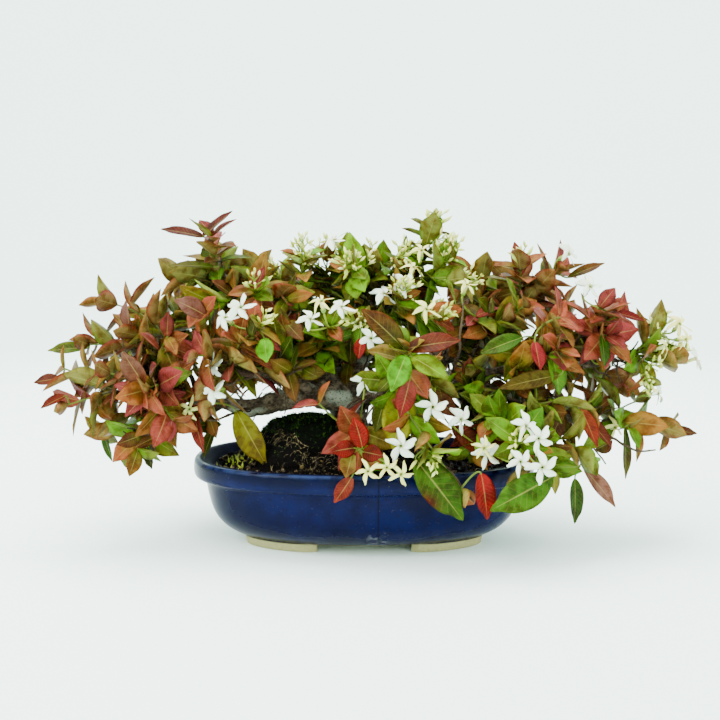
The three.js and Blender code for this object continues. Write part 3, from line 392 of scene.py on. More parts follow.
pot = new_mesh_object("glazed_pot", pot_shell())
feet = new_mesh_object("pot_feet", pot_feet())
drills = new_mesh_object("drain_drills", drain_drills())
for cutter, operation in ((feet, "UNION"), (drills, "DIFFERENCE")):
    cut = pot.modifiers.new(operation, "BOOLEAN")
    cut.operation = operation
    cut.solver = "EXACT"
    cut.object = cutter
keep_modified(pot)
for cutter in (feet, drills):
    bpy.data.objects.remove(cutter)
pot.data.set_sharp_from_angle(angle=0.7)
finish_piece(pot, cobalt_glaze(), "pot_glaze", "pot")


# Two drain screens of black moulded plastic lie loose on the pot's floor over its drain holes, and the
# soil's weight holds them down. They keep their CAD shape and get only their finish.
def moulded_plastic():
    """Black plastic with a fine satin grain."""
    material, tree, shader, place = new_material("black_plastic", Roughness=0.45)
    grain = noise(tree, place, 2500, 2)
    link(tree, shader, Base_Color=blended(tree, grain, shade("141415"), shade("232325")),
         Normal=bumped(tree, grain, 0.0001, 0.5))
    return material


plastic = moulded_plastic()
for side in ("left", "right"):
    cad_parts[f"drain_screen_{side}"].data.materials.clear()
    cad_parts[f"drain_screen_{side}"].data.materials.append(plastic)


# The soil is dark and open, level near the pot's lip and heaped in a steep mound under the trunk, pressed
# on by hand. Its top is one surface with a crumbly relief, and loose crumbs and grit lie all over it.
SOIL_EDGE_Z, SOIL_EDGE_INSET = 44.5, 12.95
SOIL_WALL = [(31.35, 10.35), (18.85, 16.2), (13.4, 42)]
SOIL_ROUND, SOIL_ROWS = 180, 70
MOUND_HEIGHT = 23
MOUND_CENTRE = np.array([-16, 2])
MOUND_REACH = np.array([52, 46])
CRUMBS = 1800
CRUMB_SHADES = ["17100c", "231a13", "30241a", "3d3024", "4c3f31"]
GRIT = 420
GRIT_SHADES = ["8a7a64", "6f6457", "a39078", "9a8b5e", "57504a"]


def value_noise(points, size, seed):
    """Smooth noise from -1 to 1: a seeded value at each corner of a lattice of cubes, blended between
    the corners by s s (3 - 2 s)."""
    spot = points / size
    cell = np.floor(spot).astype(np.int64)
    share = spot - cell
    share = share * share * (3 - 2 * share)
    total = np.zeros(spot.shape[:-1])
    for corner in np.ndindex(2, 2, 2):
        x, y, z = np.moveaxis(cell + corner, -1, 0)
        code = (x * 73856093 ^ y * 19349663 ^ z * 83492791 ^ (seed * 2654435761)) & 0xFFFFFFFF
        code = ((code ^ (code >> 13)) * 1274126177) & 0xFFFFFFFF
        value = ((code ^ (code >> 16)) & 0xFFFF) / 32767.5 - 1
        total += value * np.prod(np.where(corner, share, 1 - share), axis=-1)
    return total


def soil_height(x, y):
    """A level bed and a round mound on it: edge + height / (1 + r^6)."""
    across = ((x - MOUND_CENTRE[0]) / MOUND_REACH[0]) ** 2 + ((y - MOUND_CENTRE[1]) / MOUND_REACH[1]) ** 2
    return SOIL_EDGE_Z + MOUND_HEIGHT / (1 + across ** 3)


def soil_point(turn, share):
    """A point of the soil's top, from the mound's middle at share 0 to the pot's wall at share 1."""
    edge = oval(turn, SOIL_EDGE_INSET, 0)[..., :2]
    flat = MOUND_CENTRE + (edge - MOUND_CENTRE) * np.asarray(share)[..., None]
    return np.concatenate([flat, soil_height(flat[..., 0], flat[..., 1])[..., None]], axis=-1)


def soil_body():
    """The wall of the soil up the inside of the pot, then its top, with a crumbly relief that is low at
    the wall."""
    turn = round_turns(SOIL_ROUND)
    wall = np.stack([oval(turn, inset, height) for inset, height in SOIL_WALL])
    top = soil_point(turn[None], np.linspace(1, 0.02, SOIL_ROWS)[:, None])
    relief = 0.9 * value_noise(top, 5, 1) + 0.55 * value_noise(top, 2.2, 2)
    top[..., 2] += relief * np.linspace(0.2, 1, SOIL_ROWS)[:, None] - 0.4
    return closed_rings(np.concatenate([wall, top])[None])


def lumps(centres, sizes, seed):
    """Small uneven grains: six columns by three rows of points on a ball, each pushed in or out."""
    rng = np.random.default_rng(seed)
    turn, rise = round_turns(6), np.array([-0.9, 0, 0.9])
    ball = np.stack([np.cos(turn)[None] * np.cos(rise)[:, None], np.sin(turn)[None] * np.cos(rise)[:, None],
                     np.sin(rise)[:, None] + 0 * turn[None]], axis=-1)
    push = rng.uniform(0.75, 1.25, (len(centres), 3, 6, 1)) * rng.uniform(0.75, 1.25, (len(centres), 1, 1, 3))
    return closed_rings(centres[:, None, None] + ball[None] * push * sizes[:, None, None, None])


def each_point(values, shape, count):
    """One value for each copy, given to all the points of that copy."""
    return np.repeat(values, len(shape["points"]) // count, axis=0)


def scattered_lumps(count, shades, sizes, seed):
    """Grains scattered over the soil's top, half sunk in it, each in one of the given shades."""
    rng = np.random.default_rng(seed)
    spots = soil_point(rng.uniform(0, 2 * np.pi, count), np.sqrt(rng.uniform(0.01, 0.97, count)))
    size = rng.uniform(*sizes, count)
    spots[:, 2] += 0.25 * size
    shape = lumps(spots, size, seed + 1)
    picks = tones(shades)[rng.integers(0, len(shades), count)]
    shape["tint"] = each_point(picks * rng.uniform(0.8, 1.2, (count, 1)), shape, count)
    return shape


def painted_tint(tree):
    """The colour that is painted on a piece's points."""
    return add_node(tree, "Attribute", attribute_name="tint").outputs["Color"]


def crumbly(name, roughness, grain_size):
    """A rough finish in each grain's own tint, darker in its pores, with a grain size in millimetres."""
    material, tree, shader, place = new_material(name, Roughness=roughness, Specular_IOR_Level=0.08)
    grain, solid = speckled(tree, place, 1 / (grain_size * MM), 4, 0.3, 0.65)
    link(tree, shader, Base_Color=blended(tree, solid, shade("0d0906"), painted_tint(tree)),
         Normal=bumped(tree, grain, 0.0005, 0.8))
    return material


def damp_soil():
    """Dark damp earth with paler dry crumbs."""
    material, tree, shader, place = new_material("damp_soil", Roughness=0.92, Specular_IOR_Level=0.08)
    coarse, patches = speckled(tree, place, 180, 4, 0.35, 0.65)
    fine, dry = speckled(tree, place, 900, 3, 0.58, 0.7)
    earth = blended(tree, patches, shade("0f0b08"), shade("211811"))
    earth = blended(tree, both(tree, dry, 0.6), earth, shade("43372b"))
    link(tree, shader, Base_Color=earth, Normal=bumped(tree, calc(tree, "ADD", coarse, fine), 0.0012, 0.9))
    return material


finish_piece(new_mesh_object("soil_bed", soil_body()), damp_soil(), "soil", "soil")
crumbs = scattered_lumps(CRUMBS, CRUMB_SHADES, (0.5, 1.5), 11)
finish_piece(new_mesh_object("soil_crumbs", crumbs), crumbly("earth_crumb", 0.95, 1.2), "soil")
grit = scattered_lumps(GRIT, GRIT_SHADES, (0.6, 1.9), 21)
finish_piece(new_mesh_object("grit", grit), crumbly("grit_stone", 0.8, 0.9), "pebbles")


# Moss grows as one dark dome over the front of the mound, up to the trunk. Under its fine upright leaves
# lies a matted cushion, and the leaves stand in small tufts that lean every way.
MOSS_CENTRE = np.array([-33, -5])
MOSS_REACH = np.array([31, 33])
MOSS_OUTLINE = [
    (1.34, 46), (1.24, 53), (1.12, 60), (1, 66.4), (0.84, 71.2), (0.5, 75.2), (0.2, 75.9), (0.02, 76),
]
MOSS_EDGE_Z, MOSS_FOOT = 62, 65
MOSS_LEAVES, TUFT_LEAVES = 5500, 5
MOSS_SHADES = ["2f471b", "3d5a22", "4d6c28", "243513", "637f31"]
CUSHION_SHADE, CUSHION_FOOT_SHADE = "1f2c11", "18120c"


def moss_wave(turn):
    """How far the moss reaches out at an angle, against a plain oval."""
    return 1 + 0.07 * np.sin(3 * turn + 1) + 0.05 * np.sin(5 * turn)


def moss_point(turn, reach, height):
    """A point of the moss dome: a wavy oval at each height, with a lower edge that rises and falls."""
    wavy = reach * moss_wave(turn)
    drop = np.where(height < MOSS_EDGE_Z, 2.5 * np.sin(2 * turn), 0)
    return np.stack([MOSS_CENTRE[0] + MOSS_REACH[0] * wavy * np.cos(turn),
                     MOSS_CENTRE[1] + MOSS_REACH[1] * wavy * np.sin(turn), height + drop], axis=-1)


def moss_dome(turn, share):
    """A point of the dome's softened outline at a share of its run, lumpy like a cushion."""
    outline = soften(MOSS_OUTLINE, 3)
    run = np.linspace(0, 1, len(outline))
    turn, share = np.broadcast_arrays(turn, share)
    points = moss_point(turn, np.interp(share, run, outline[:, 0]), np.interp(share, run, outline[:, 1]))
    lump = 0.9 * value_noise(points, 7, 5) + 0.4 * value_noise(points, 2.5, 6)
    return points + lump[..., None] * [0.2, 0.2, 1]


def spikes(roots, tips, thickness, lean):
    """Slim three-sided leaves: a ring at the root, a ring bent aside halfway, and a point at the tip."""
    along = unit(tips - roots)
    first = unit(np.cross(along, [0.31, 0.17, 0.93]))
    second = np.cross(along, first)
    turn = round_turns(3)[None, :, None]
    ring = np.cos(turn) * first[:, None] + np.sin(turn) * second[:, None]
    middle = (roots + tips) / 2 + lean
    width = thickness[:, None, None]
    rings = [roots[:, None] + ring * width, middle[:, None] + ring * width * 0.8, tips[:, None]]
    faces = np.array([[0, 1, 4], [0, 4, 3], [1, 2, 5], [1, 5, 4], [2, 0, 3], [2, 3, 5],
                      [3, 4, 6], [4, 5, 6], [5, 3, 6], [0, 2, 1]])
    return {"points": np.concatenate(rings, axis=1).reshape(-1, 3), "faces": [copied(faces, len(roots), 7)]}


def moss_leaves():
    """Spikes in tufts all over the dome, each up to 2.6 mm long and shorter towards the moss's foot."""
    rng = np.random.default_rng(31)
    tufts = MOSS_LEAVES // TUFT_LEAVES
    turn = np.repeat(rng.uniform(0, 2 * np.pi, tufts), TUFT_LEAVES) + rng.normal(0, 0.012, MOSS_LEAVES)
    share = np.repeat(rng.uniform(0.12, 1, tufts) ** 0.75, TUFT_LEAVES) + rng.normal(0, 0.006, MOSS_LEAVES)
    roots = moss_dome(turn, np.clip(share, 0.1, 0.998))
    normal = unit(roots - [MOSS_CENTRE[0], MOSS_CENTRE[1], 40])
    away = unit(normal + rng.normal(0, 0.42, (MOSS_LEAVES, 3)))
    length = rng.uniform(1.1, 2.6, (MOSS_LEAVES, 1)) * np.clip((roots[:, 2:] - MOSS_FOOT) / 4, 0.02, 1)
    thickness = rng.uniform(0.2, 0.36, MOSS_LEAVES)
    shape = spikes(roots - normal * 0.3, roots + away * length, thickness, normal * 0.25)
    picks = tones(MOSS_SHADES)[np.repeat(rng.integers(0, len(MOSS_SHADES), tufts), TUFT_LEAVES)]
    shape["tint"] = each_point(picks * rng.uniform(0.7, 1.3, (MOSS_LEAVES, 1)), shape, MOSS_LEAVES)
    return shape


moss_mat = closed_rings(moss_dome(round_turns(96)[None], np.linspace(0, 1, 60)[:, None])[None])
mossy = np.clip((moss_mat["points"][:, 2:] - MOSS_FOOT) / 3, 0, 1)
moss_mat["tint"] = mixed(tone(CUSHION_FOOT_SHADE), tone(CUSHION_SHADE), mossy)
moss_finish = crumbly("moss_green", 0.9, 1.5)
finish_piece(new_mesh_object("moss_cushion", moss_mat), moss_finish, "moss", "moss")
finish_piece(new_mesh_object("moss_leaves", moss_leaves()), moss_finish, "moss")


# The trunk is one old stump that leaves the mound behind the moss, with two slimmer stems beside it and
# limbs spread low to both sides. The limbs are grown together at their roots, so they are made as one
# skin, and grey furrowed bark is raised on it along each limb.
LIMBS = {
    "stump": (13, 10, [[-5, 5, 36], [-6, 4, 58], [-9, 2, 76], [-13, -1, 92]]),
    "stem_pale": (3.2, 2.6, [[4, -10, 52], [0, -9, 72], [-8, -4, 94]]),
    "stem_dark": (3.6, 3, [[16, -6, 54], [14, -5, 76], [16, -5, 96]]),
    "left": (10.5, 2.2, [[-6, 1, 86], [-30, -5, 90], [-52, -9, 86], [-72, -12, 82], [-92, -15, 88],
                         [-116, -18, 92], [-138, -22, 90]]),
    "left_back": (6, 2, [[-24, -2, 91], [-44, 10, 102], [-66, 22, 108], [-92, 30, 112], [-116, 34, 118]]),
    "left_high": (6.5, 1.8, [[-14, 0, 88], [-28, 2, 108], [-46, 4, 124], [-64, 6, 136], [-80, 6, 146]]),
    "middle_high": (6.5, 1.8, [[-10, 2, 88], [0, 6, 110], [6, 8, 130], [8, 8, 148]]),
    "right": (8.5, 2, [[-8, 0, 86], [16, -6, 96], [42, -10, 100], [68, -12, 96], [92, -12, 88],
                       [116, -14, 79], [136, -16, 73]]),
    "right_high": (5, 1.8, [[30, -7, 98], [52, 2, 112], [76, 6, 126], [100, 6, 136]]),
    "right_mid": (4.5, 1.8, [[58, -10, 98], [86, -2, 104], [114, 2, 106], [142, 2, 108], [158, 0, 111]]),
    "back_left": (6, 2, [[-10, 6, 86], [-26, 30, 96], [-48, 50, 106], [-66, 62, 112]]),
    "back_right": (6, 2, [[-4, 8, 86], [20, 32, 98], [46, 50, 108], [68, 60, 112]]),
    "back_mid": (5, 2, [[-7, 6, 88], [-4, 24, 110], [0, 42, 128], [2, 52, 136]]),
    "front": (5, 2, [[-4, -3, 84], [6, -24, 92], [16, -40, 98]]),
    "front_left": (4.5, 1.8, [[-24, -5, 90], [-38, -24, 98], [-54, -38, 104], [-68, -44, 107]]),
    "low_left": (2.6, 1.5, [[-84, -14, 86], [-100, -20, 76], [-118, -21, 70]]),
    "low_right": (4, 1.8, [[50, -10, 98], [66, -28, 86], [82, -42, 78]]),
    "sucker": (2.4, 1.6, [[-4, -2, 80], [-4, -26, 82], [-2, -44, 78]]),
}
BARK_VOXEL = 0.97
BARK_SHADES = {"furrow": "2a211c", "bark": "6b5c4c", "ridge": "9c8f7c", "lichen": "c3c6b6", "algae": "59603a"}


def through(points, steps):
    """A smooth curve through points, steps to each stretch between two, its ends carried straight on."""
    line = np.asarray(points, float)
    line = np.concatenate([[2 * line[0] - line[1]], line, [2 * line[-1] - line[-2]]])
    share = np.linspace(0, 1, steps, endpoint=False)[:, None]
    runs = []
    for before, start, end, after in zip(line[:-3], line[1:-2], line[2:-1], line[3:]):
        leave, arrive = (end - before) / 2, (after - start) / 2
        runs.append(start + leave * share + (3 * (end - start) - 2 * leave - arrive) * share ** 2
                    + (2 * (start - end) + leave + arrive) * share ** 3)
    return np.concatenate([*runs, line[-2:-1]])


def tubes(paths, radii, sides):
    """Round tubes along paths (copies, steps, 3): path + radius (cos a first + sin a second), where first
    is the axis that the path meets least, set square to it."""
    paths = np.asarray(paths, float)
    along = unit(np.gradient(paths, axis=1))
    helper = np.eye(3)[np.abs(along).max(axis=1).argmin(axis=-1)][:, None]
    first = unit(helper - along * (along * helper).sum(axis=-1, keepdims=True))
    second = np.cross(along, first)
    turn = round_turns(sides)[:, None]
    ring = np.cos(turn) * first[:, :, None] + np.sin(turn) * second[:, :, None]
    return closed_rings(paths[:, :, None] + np.asarray(radii)[..., None, None] * ring)


def limb_line(name):
    """Points and radii along a limb: the radius falls from first to last as t^0.8, with slow swellings."""
    first, last, points = LIMBS[name]
    path = through(points, 14)
    share = np.linspace(0, 1, len(path))
    swell = 1 + 0.09 * np.sin(17 * share + first * 3) * (0.4 if name == "stump" else 1)
    return path, (first + (last - first) * share ** 0.8) * swell


def wood_skin():
    """All limbs as tubes, made one skin by a fine voxel remesh and smoothed."""
    shapes = []
    for name in LIMBS:
        path, radii = limb_line(name)
        bulge = 1 + 0.08 * value_noise(path, 11, 3)
        shapes.append(tubes(path[None], (radii * bulge)[None], 20))
    wood = new_mesh_object("trunk_and_limbs", joined(shapes))
    remesh = wood.modifiers.new("one_skin", "REMESH")
    remesh.mode = "VOXEL"
    remesh.voxel_size = BARK_VOXEL * MM
    smooth = wood.modifiers.new("smooth", "SMOOTH")
    smooth.factor = 0.5
    smooth.iterations = 4
    keep_modified(wood)
    return wood


def mesh_points(mesh):
    """A mesh's points in millimetres from the pot's middle."""
    flat = np.empty(len(mesh.vertices) * 3, np.float32)
    mesh.vertices.foreach_get("co", flat)
    return (flat.reshape(-1, 3) - POT_MIDDLE) / MM


def along_limbs(points):
    """The nearest place on the limbs' middle lines for each point: the way from it to the point, and the
    limb's heading, its run from the root and its radius there. Each limb's runs start 500 mm apart."""
    lines = [limb_line(name) for name in LIMBS]
    spine = np.concatenate([path for path, _ in lines])
    girth = np.concatenate([radii for _, radii in lines])
    heading = np.concatenate([unit(np.gradient(path, axis=0)) for path, _ in lines])
    run = np.concatenate([np.cumsum(np.linalg.norm(np.gradient(path, axis=0), axis=1)) + 500 * i
                          for i, (path, _) in enumerate(lines)])
    nearest = np.concatenate([
        (((block[:, None] - spine[None]) ** 2).sum(axis=-1) - girth[None] ** 2).argmin(axis=1)
        for block in np.array_split(points, 60)])
    return points - spine[nearest], heading[nearest], run[nearest], girth[nearest]


def bark_colours(points, furrow, coarse, fine):
    """Grey bark, paler on its ridges and dark in its furrows, with patches of lichen, algae on the damp
    wood near the soil, and shade on the right of the stump."""
    ridge = np.clip(0.5 + 0.6 * coarse + 0.4 * fine, 0, 1)
    lichen = np.clip(value_noise(points, 10, 16) * 2.2 - 0.75, 0, 1)
    damp = np.clip((84 - points[:, 2]) / 16, 0, 1) * np.clip(0.6 + value_noise(points, 7, 17), 0, 1)
    colour = tone(BARK_SHADES["bark"])
    for key, share in (("ridge", ridge), ("furrow", furrow ** 1.5 * 0.85), ("lichen", lichen * 0.8),
                       ("algae", damp * 0.7)):
        colour = mixed(colour, tone(BARK_SHADES[key]), share[:, None])
    shaded = 0.45 * np.clip((points[:, 0] + 2) / 12, 0, 1) * np.clip((86 - points[:, 2]) / 10, 0, 1)
    return colour * (1 - shaded[:, None])


def raise_bark(wood):
    """Moves each point of the wood along its normal by thick (-0.8 furrow^2 + 0.75 coarse + 0.3 fine),
    with furrows that are narrow across a limb and long along it, and paints it from the same relief."""
    points = mesh_points(wood.data)
    away, heading, run, girth = along_limbs(points)
    reach = (away * heading).sum(axis=1, keepdims=True)
    stretched = away - heading * reach * 0.8 + heading * run[:, None] * 0.2
    twisted = stretched + 1.5 * value_noise(points, 9, 12)[:, None]
    furrow = np.clip(1 - np.abs(value_noise(twisted, 2.6, 13)) * 2, 0, 1)
    coarse, fine = value_noise(points, 6.5, 14), value_noise(points, 1.6, 15)
    thick = np.clip(girth / 6, 0.25, 1.3)
    lift = thick * (-0.8 * furrow ** 2 + 0.75 * coarse + 0.3 * fine)
    normals = np.empty(len(points) * 3, np.float32)
    wood.data.vertices.foreach_get("normal", normals)
    write_points(wood.data, points + normals.reshape(-1, 3) * lift[:, None])
    paint_points(wood.data, bark_colours(points, furrow, coarse, fine))


def old_bark():
    """Dry bark in its painted tint, with dark pores and a pale dusty grain."""
    material, tree, shader, place = new_material("old_bark", Roughness=0.86, Specular_IOR_Level=0.15)
    coarse, pores = speckled(tree, place, 900, 4, 0.5, 0.3)
    fine, dust = speckled(tree, place, 2600, 2, 0.6, 0.75)
    colour = blended(tree, both(tree, pores, 0.7), painted_tint(tree), shade("1d1713"))
    colour = blended(tree, both(tree, dust, 0.35), colour, shade("b7aa9a"))
    link(tree, shader, Base_Color=colour, Normal=bumped(tree, calc(tree, "ADD", coarse, fine), 0.0006, 0.7))
    return material


wood = wood_skin()
raise_bark(wood)
bark = old_bark()
finish_piece(wood, bark, "bark", "trunk")


# Each limb carries short brown twigs, and each twig one spray of soft green shoots. The shoots' tips are
# listed, and their curves, leaf pairs and buds follow the plant's seeded rules. A spray holds
# its limb, its base, then for each shoot its tip, its leaf pairs and the buds at its tip.
SPRAYS = {
    "left_tip": ("left", [-146, -23, 92], [
        (-182, -15, 107, 4, 0), (-178, -25, 86, 4, 0), (-166, -4, 96, 3, 0)]),
    "left_low": ("low_left", [-126, -20, 69], [
        (-160, -2, 66, 4, 0), (-153, -14, 77, 3, 0), (-134, -36, 60, 3, 0)]),
    "left_front": ("left", [-112, -28, 95], [
        (-155, -40, 108, 4, 0), (-127, -54, 98, 4, 0), (-111, -48, 80, 3, 0)]),
    "left_top": ("left", [-112, -10, 108], [
        (-170, 0, 120, 5, 0), (-161, 6, 146, 4, 0), (-142, -12, 131, 3, 0), (-116, -32, 128, 3, 0)]),
    "crest_left": ("left_high", [-86, 6, 153], [
        (-93, 0, 187, 4, 0), (-116, 10, 160, 3, 0), (-90, 28, 170, 3, 0)]),
    "crest_inner": ("left_high", [-64, -4, 142], [
        (-65, -22, 154, 3, 2), (-66, 12, 166, 3, 0), (-94, -34, 142, 4, 0), (-46, -26, 149, 3, 0)]),
    "crest_mid": ("left_high", [-38, 10, 132], [
        (-38, 2, 174, 4, 0), (-23, 16, 171, 4, 0), (-56, 34, 160, 4, 0)]),
    "front_left": ("front_left", [-74, -46, 109], [
        (-96, -50, 118, 3, 0), (-60, -58, 134, 3, 2), (-90, -42, 88, 3, 0), (-72, -16, 120, 3, 0),
        (-48, -36, 106, 3, 0)]),
    "inner_mid": ("left_high", [-32, -8, 112], [
        (-38, -22, 128, 3, 0), (-20, -37, 134, 3, 0), (-52, -20, 112, 3, 0)]),
    "top_mid": ("middle_high", [4, 4, 153], [
        (-7, -14, 167, 3, 2), (21, 0, 173, 3, 2), (-12, 20, 172, 3, 0)]),
    "top_right": ("middle_high", [22, 4, 150], [
        (42, 10, 190, 4, 2), (51, -6, 173, 3, 2), (59, -12, 157, 3, 0)]),
    "top_front": ("middle_high", [12, -12, 132], [
        (21, -24, 149, 3, 0), (-2, -34, 136, 3, 0), (42, -26, 138, 3, 0)]),
    "front_mid": ("front", [21, -46, 102], [
        (23, -70, 124, 4, 0), (42, -48, 100, 3, 0), (34, -80, 68, 3, 2), (54, -86, 46, 3, 0)]),
    "front_low": ("sucker", [-2, -50, 76], [(-3, -72, 66, 3, 0), (-26, -62, 92, 3, 0)]),
    "low_mid": ("low_right", [62, -32, 92], [
        (66, -22, 104, 3, 0), (62, -62, 68, 3, 0), (82, -20, 76, 3, 0)]),
    "right_inner": ("right_high", [62, -8, 124], [
        (67, -18, 139, 3, 0), (95, -26, 145, 4, 0), (72, 12, 150, 3, 0)]),
    "right_crest": ("right_high", [98, 7, 140], [
        (96, 0, 168, 4, 2), (119, 6, 166, 4, 0), (96, 38, 156, 3, 0), (62, 40, 158, 4, 0)]),
    "right_front": ("right_mid", [96, -18, 110], [
        (114, -41, 140, 4, 0), (112, -51, 122, 4, 0), (88, -46, 102, 3, 0)]),
    "right_top": ("right_mid", [130, -4, 122], [
        (142, -15, 144, 3, 0), (154, -10, 138, 3, 0), (143, -31, 128, 4, 0)]),
    "right_far": ("right_mid", [162, -1, 112], [
        (181, 5, 128, 4, 2), (170, -16, 102, 3, 0), (188, -2, 112, 3, 0)]),
    "right_low_far": ("right", [142, -16, 73], [
        (188, 0, 69, 4, 0), (158, -30, 74, 3, 0), (170, 6, 84, 3, 0)]),
    "right_front_low": ("low_right", [87, -50, 77], [
        (86, -80, 72, 3, 2), (104, -82, 58, 3, 0), (72, -68, 86, 3, 0), (129, -52, 58, 3, 0),
        (132, -38, 88, 3, 0)]),
    "back_left_far": ("left_back", [-122, 36, 120], [
        (-150, 42, 114, 4, 0), (-138, 56, 134, 4, 0), (-116, 46, 148, 4, 2), (-128, 62, 100, 4, 0)]),
    "back_left": ("back_left", [-72, 66, 113], [
        (-98, 78, 120, 4, 0), (-62, 80, 138, 4, 0), (-84, 88, 98, 4, 0), (-44, 88, 102, 4, 2)]),
    "back_mid": ("back_mid", [2, 57, 140], [
        (4, 72, 167, 4, 2), (-22, 64, 154, 4, 0), (26, 76, 142, 4, 0), (-8, 88, 120, 4, 0)]),
    "back_right": ("back_right", [74, 64, 113], [
        (92, 84, 126, 4, 2), (56, 86, 108, 4, 0), (104, 68, 98, 4, 0), (66, 68, 142, 4, 0)]),
    "back_right_far": ("right_mid", [128, 24, 106], [
        (154, 38, 122, 4, 0), (134, 54, 104, 4, 0), (164, 32, 92, 4, 0), (122, 36, 140, 4, 0)]),
}
STEM_RADII, SIDE_STEM_RADII = (1.2, 0.6), (1, 0.55)
STEM_SIDES = 6
TWIG_RADII, TWIG_STEPS = (1.75, 1.15), 14
NODE_LENGTH = 1.3
FORK_SHARE = 0.16
SHOOT_TURN = 1.3
JOIN_GAP = 0.4
STEM_TRIES = 10
FIT = 0.1
CENTRE = np.array([0, 0, 85.0])
UP = np.array([0, 0, 1.0])
STEM_SHADES = {"twig": "5f4c3f", "old": "5b4636", "young": "7d8a3c", "fresh": "9aa84e"}


def draws(seed):
    """A seeded row of values from 0 to 1, the same for the same seed: state = a state + c, modulo 2^32."""
    state = (seed * 2654435 + 977) % 4294967296
    for step in range(100):
        state = (state * 1664525 + 1013904223) % 4294967296
        if step > 1:
            yield state / 4294967296


def drawn_vector(draw):
    """Three draws as a vector, each from -0.5 to 0.5."""
    return np.array([next(draw) - 0.5, next(draw) - 0.5, next(draw) - 0.5])


def square_to(axis):
    """Two directions square to an axis and to each other."""
    first = unit(np.cross([1, 0, 0] if abs(axis[2]) > 0.9 else UP, axis))
    return first, np.cross(axis, first)


def bend(start, control, end):
    """A curve from start to end drawn towards control: its points and its directions at shares t."""
    def point(t):
        t = np.asarray(t, float)[..., None]
        return (1 - t) ** 2 * start + 2 * t * (1 - t) * control + t * t * end

    def direction(t):
        t = np.asarray(t, float)[..., None]
        return unit((control - start) * (1 - t) + (end - control) * t)

    return point, direction


def heading(name):
    """The way a spray's twig ends: between the middle of its tips and the tip of its leading shoot."""
    base, shoots = SPRAYS[name][1:]
    tips = np.array(shoots, float)[:, :3]
    return unit(unit(tips.mean(axis=0) - base) + unit(tips[0] - base))


def round_shoot(shoot, share):
    """Directions round a shoot at a share of its run, carried from its root without a twist."""
    along = heading(shoot["name"]) if share == 0 and shoot["j"] == 0 else shoot["direction"](share)
    carried = square_to(shoot["direction"](0))[0]
    first = unit(carried - along * (carried @ along))
    return first, np.cross(along, first)


def side_normal(shoot, share, quarter):
    """The direction out of one of a shoot's four sides."""
    first, second = round_shoot(shoot, share)
    turn = SHOOT_TURN * shoot["j"] + quarter * np.pi / 2
    return first * np.cos(turn) + second * np.sin(turn)


def leaf_share(shoot, pair):
    """Where a leaf pair stands along its shoot."""
    return min(0.28 + 0.72 * pair / (shoot["pairs"] - 1), 1 - NODE_LENGTH / 2 / shoot["run"])


def shoot_seed(shoot):
    """The seed of a shoot, by its spray's place in the table and its own place in the spray."""
    return (list(SPRAYS).index(shoot["name"]) * 8 + shoot["j"]) * 4099


def misfit(corners, points):
    """How far the worst of some points lies from the nearest corner of a CAD node."""
    return np.sqrt(((corners[None] - np.asarray(points)[:, None]) ** 2).sum(axis=-1).min(axis=1)).max()


def best_try(tries, make, fit):
    """The try of a rule whose points fit the CAD best, how far off it is, and its number."""
    made = [make(attempt) for attempt in range(tries)]
    scores = [fit(one) for one in made]
    best = int(np.argmin(scores))
    return made[best], scores[best], best


def stem_radius(shoot, share):
    """A shoot's radius at a share of its run."""
    thick, thin = SIDE_STEM_RADII if shoot["j"] else STEM_RADII
    return thick + (thin - thick) * share


def tip_ring(shoot):
    """The four corners of the CAD stem's last ring."""
    share = leaf_share(shoot, shoot["pairs"] - 1) + NODE_LENGTH / 2 / shoot["run"]
    radius = stem_radius(shoot, share)
    return [shoot["point"](share) + side_normal(shoot, share, i - 0.5) * radius for i in range(4)]


def node_corners(name):
    """The corners of a CAD node's mesh, each once."""
    return np.unique(np.round(mesh_points(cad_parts[name].data), 3), axis=0)


def grow_shoots(name):
    """A spray's shoots: the first leads on from the twig, and each other one leaves the free side of the
    fork that faces its own tip best and arches a little. The try that fits the CAD's stem is kept."""
    base, tips = SPRAYS[name][1:]
    lead = heading(name)
    grown, free = [], [0, 1, 2, 3]
    for j, (*tip, pairs, buds) in enumerate(tips):
        root, along = base + lead * JOIN_GAP, lead
        if j > 0:
            leader = grown[0]
            fork = leader["point"](FORK_SHARE)
            quarter = max(free, key=lambda side: (tip - fork) @ side_normal(leader, FORK_SHARE, side))
            free.remove(quarter)
            normal = side_normal(leader, FORK_SHARE, quarter)
            root = fork + normal * 0.6 * STEM_RADII[0]
            along = unit(normal + 0.6 * leader["direction"](FORK_SHARE))
        run = np.linalg.norm(tip - root)
        control = root + along * 0.4 * run + UP * 0.1 * run
        common = {"name": name, "j": j, "run": run, "pairs": pairs, "buds": buds}

        def attempt_shoot(attempt):
            draw = draws(shoot_seed(common) + 31 * attempt)
            sway = drawn_vector(draw) * attempt * 0.07 * run
            end = tip + drawn_vector(draw) * attempt * 1.2
            point, direction = bend(root, control + sway, end)
            return {**common, "point": point, "direction": direction}

        grown.append(best_try(STEM_TRIES, attempt_shoot,
                              lambda one: misfit(spray_corners[name], tip_ring(one)))[0])
    return grown


def node_shares(shoot):
    """Where stalks may leave a shoot: its fork and its upper leaf pairs."""
    tip = leaf_share(shoot, shoot["pairs"] - 1)
    return [tip] if shoot["j"] else [FORK_SHARE, leaf_share(shoot, shoot["pairs"] - 3), tip]


def nearest_stems(target, facing):
    """The shoots' nodes by their distance to a place, farther where a stalk would have to turn back."""
    def reach(spot):
        run = target - spot[0]["point"](spot[1])
        return np.linalg.norm(run) * (1.7 - unit(run) @ facing)

    return sorted(((shoot, share) for shoot in shoots for share in node_shares(shoot)), key=reach)


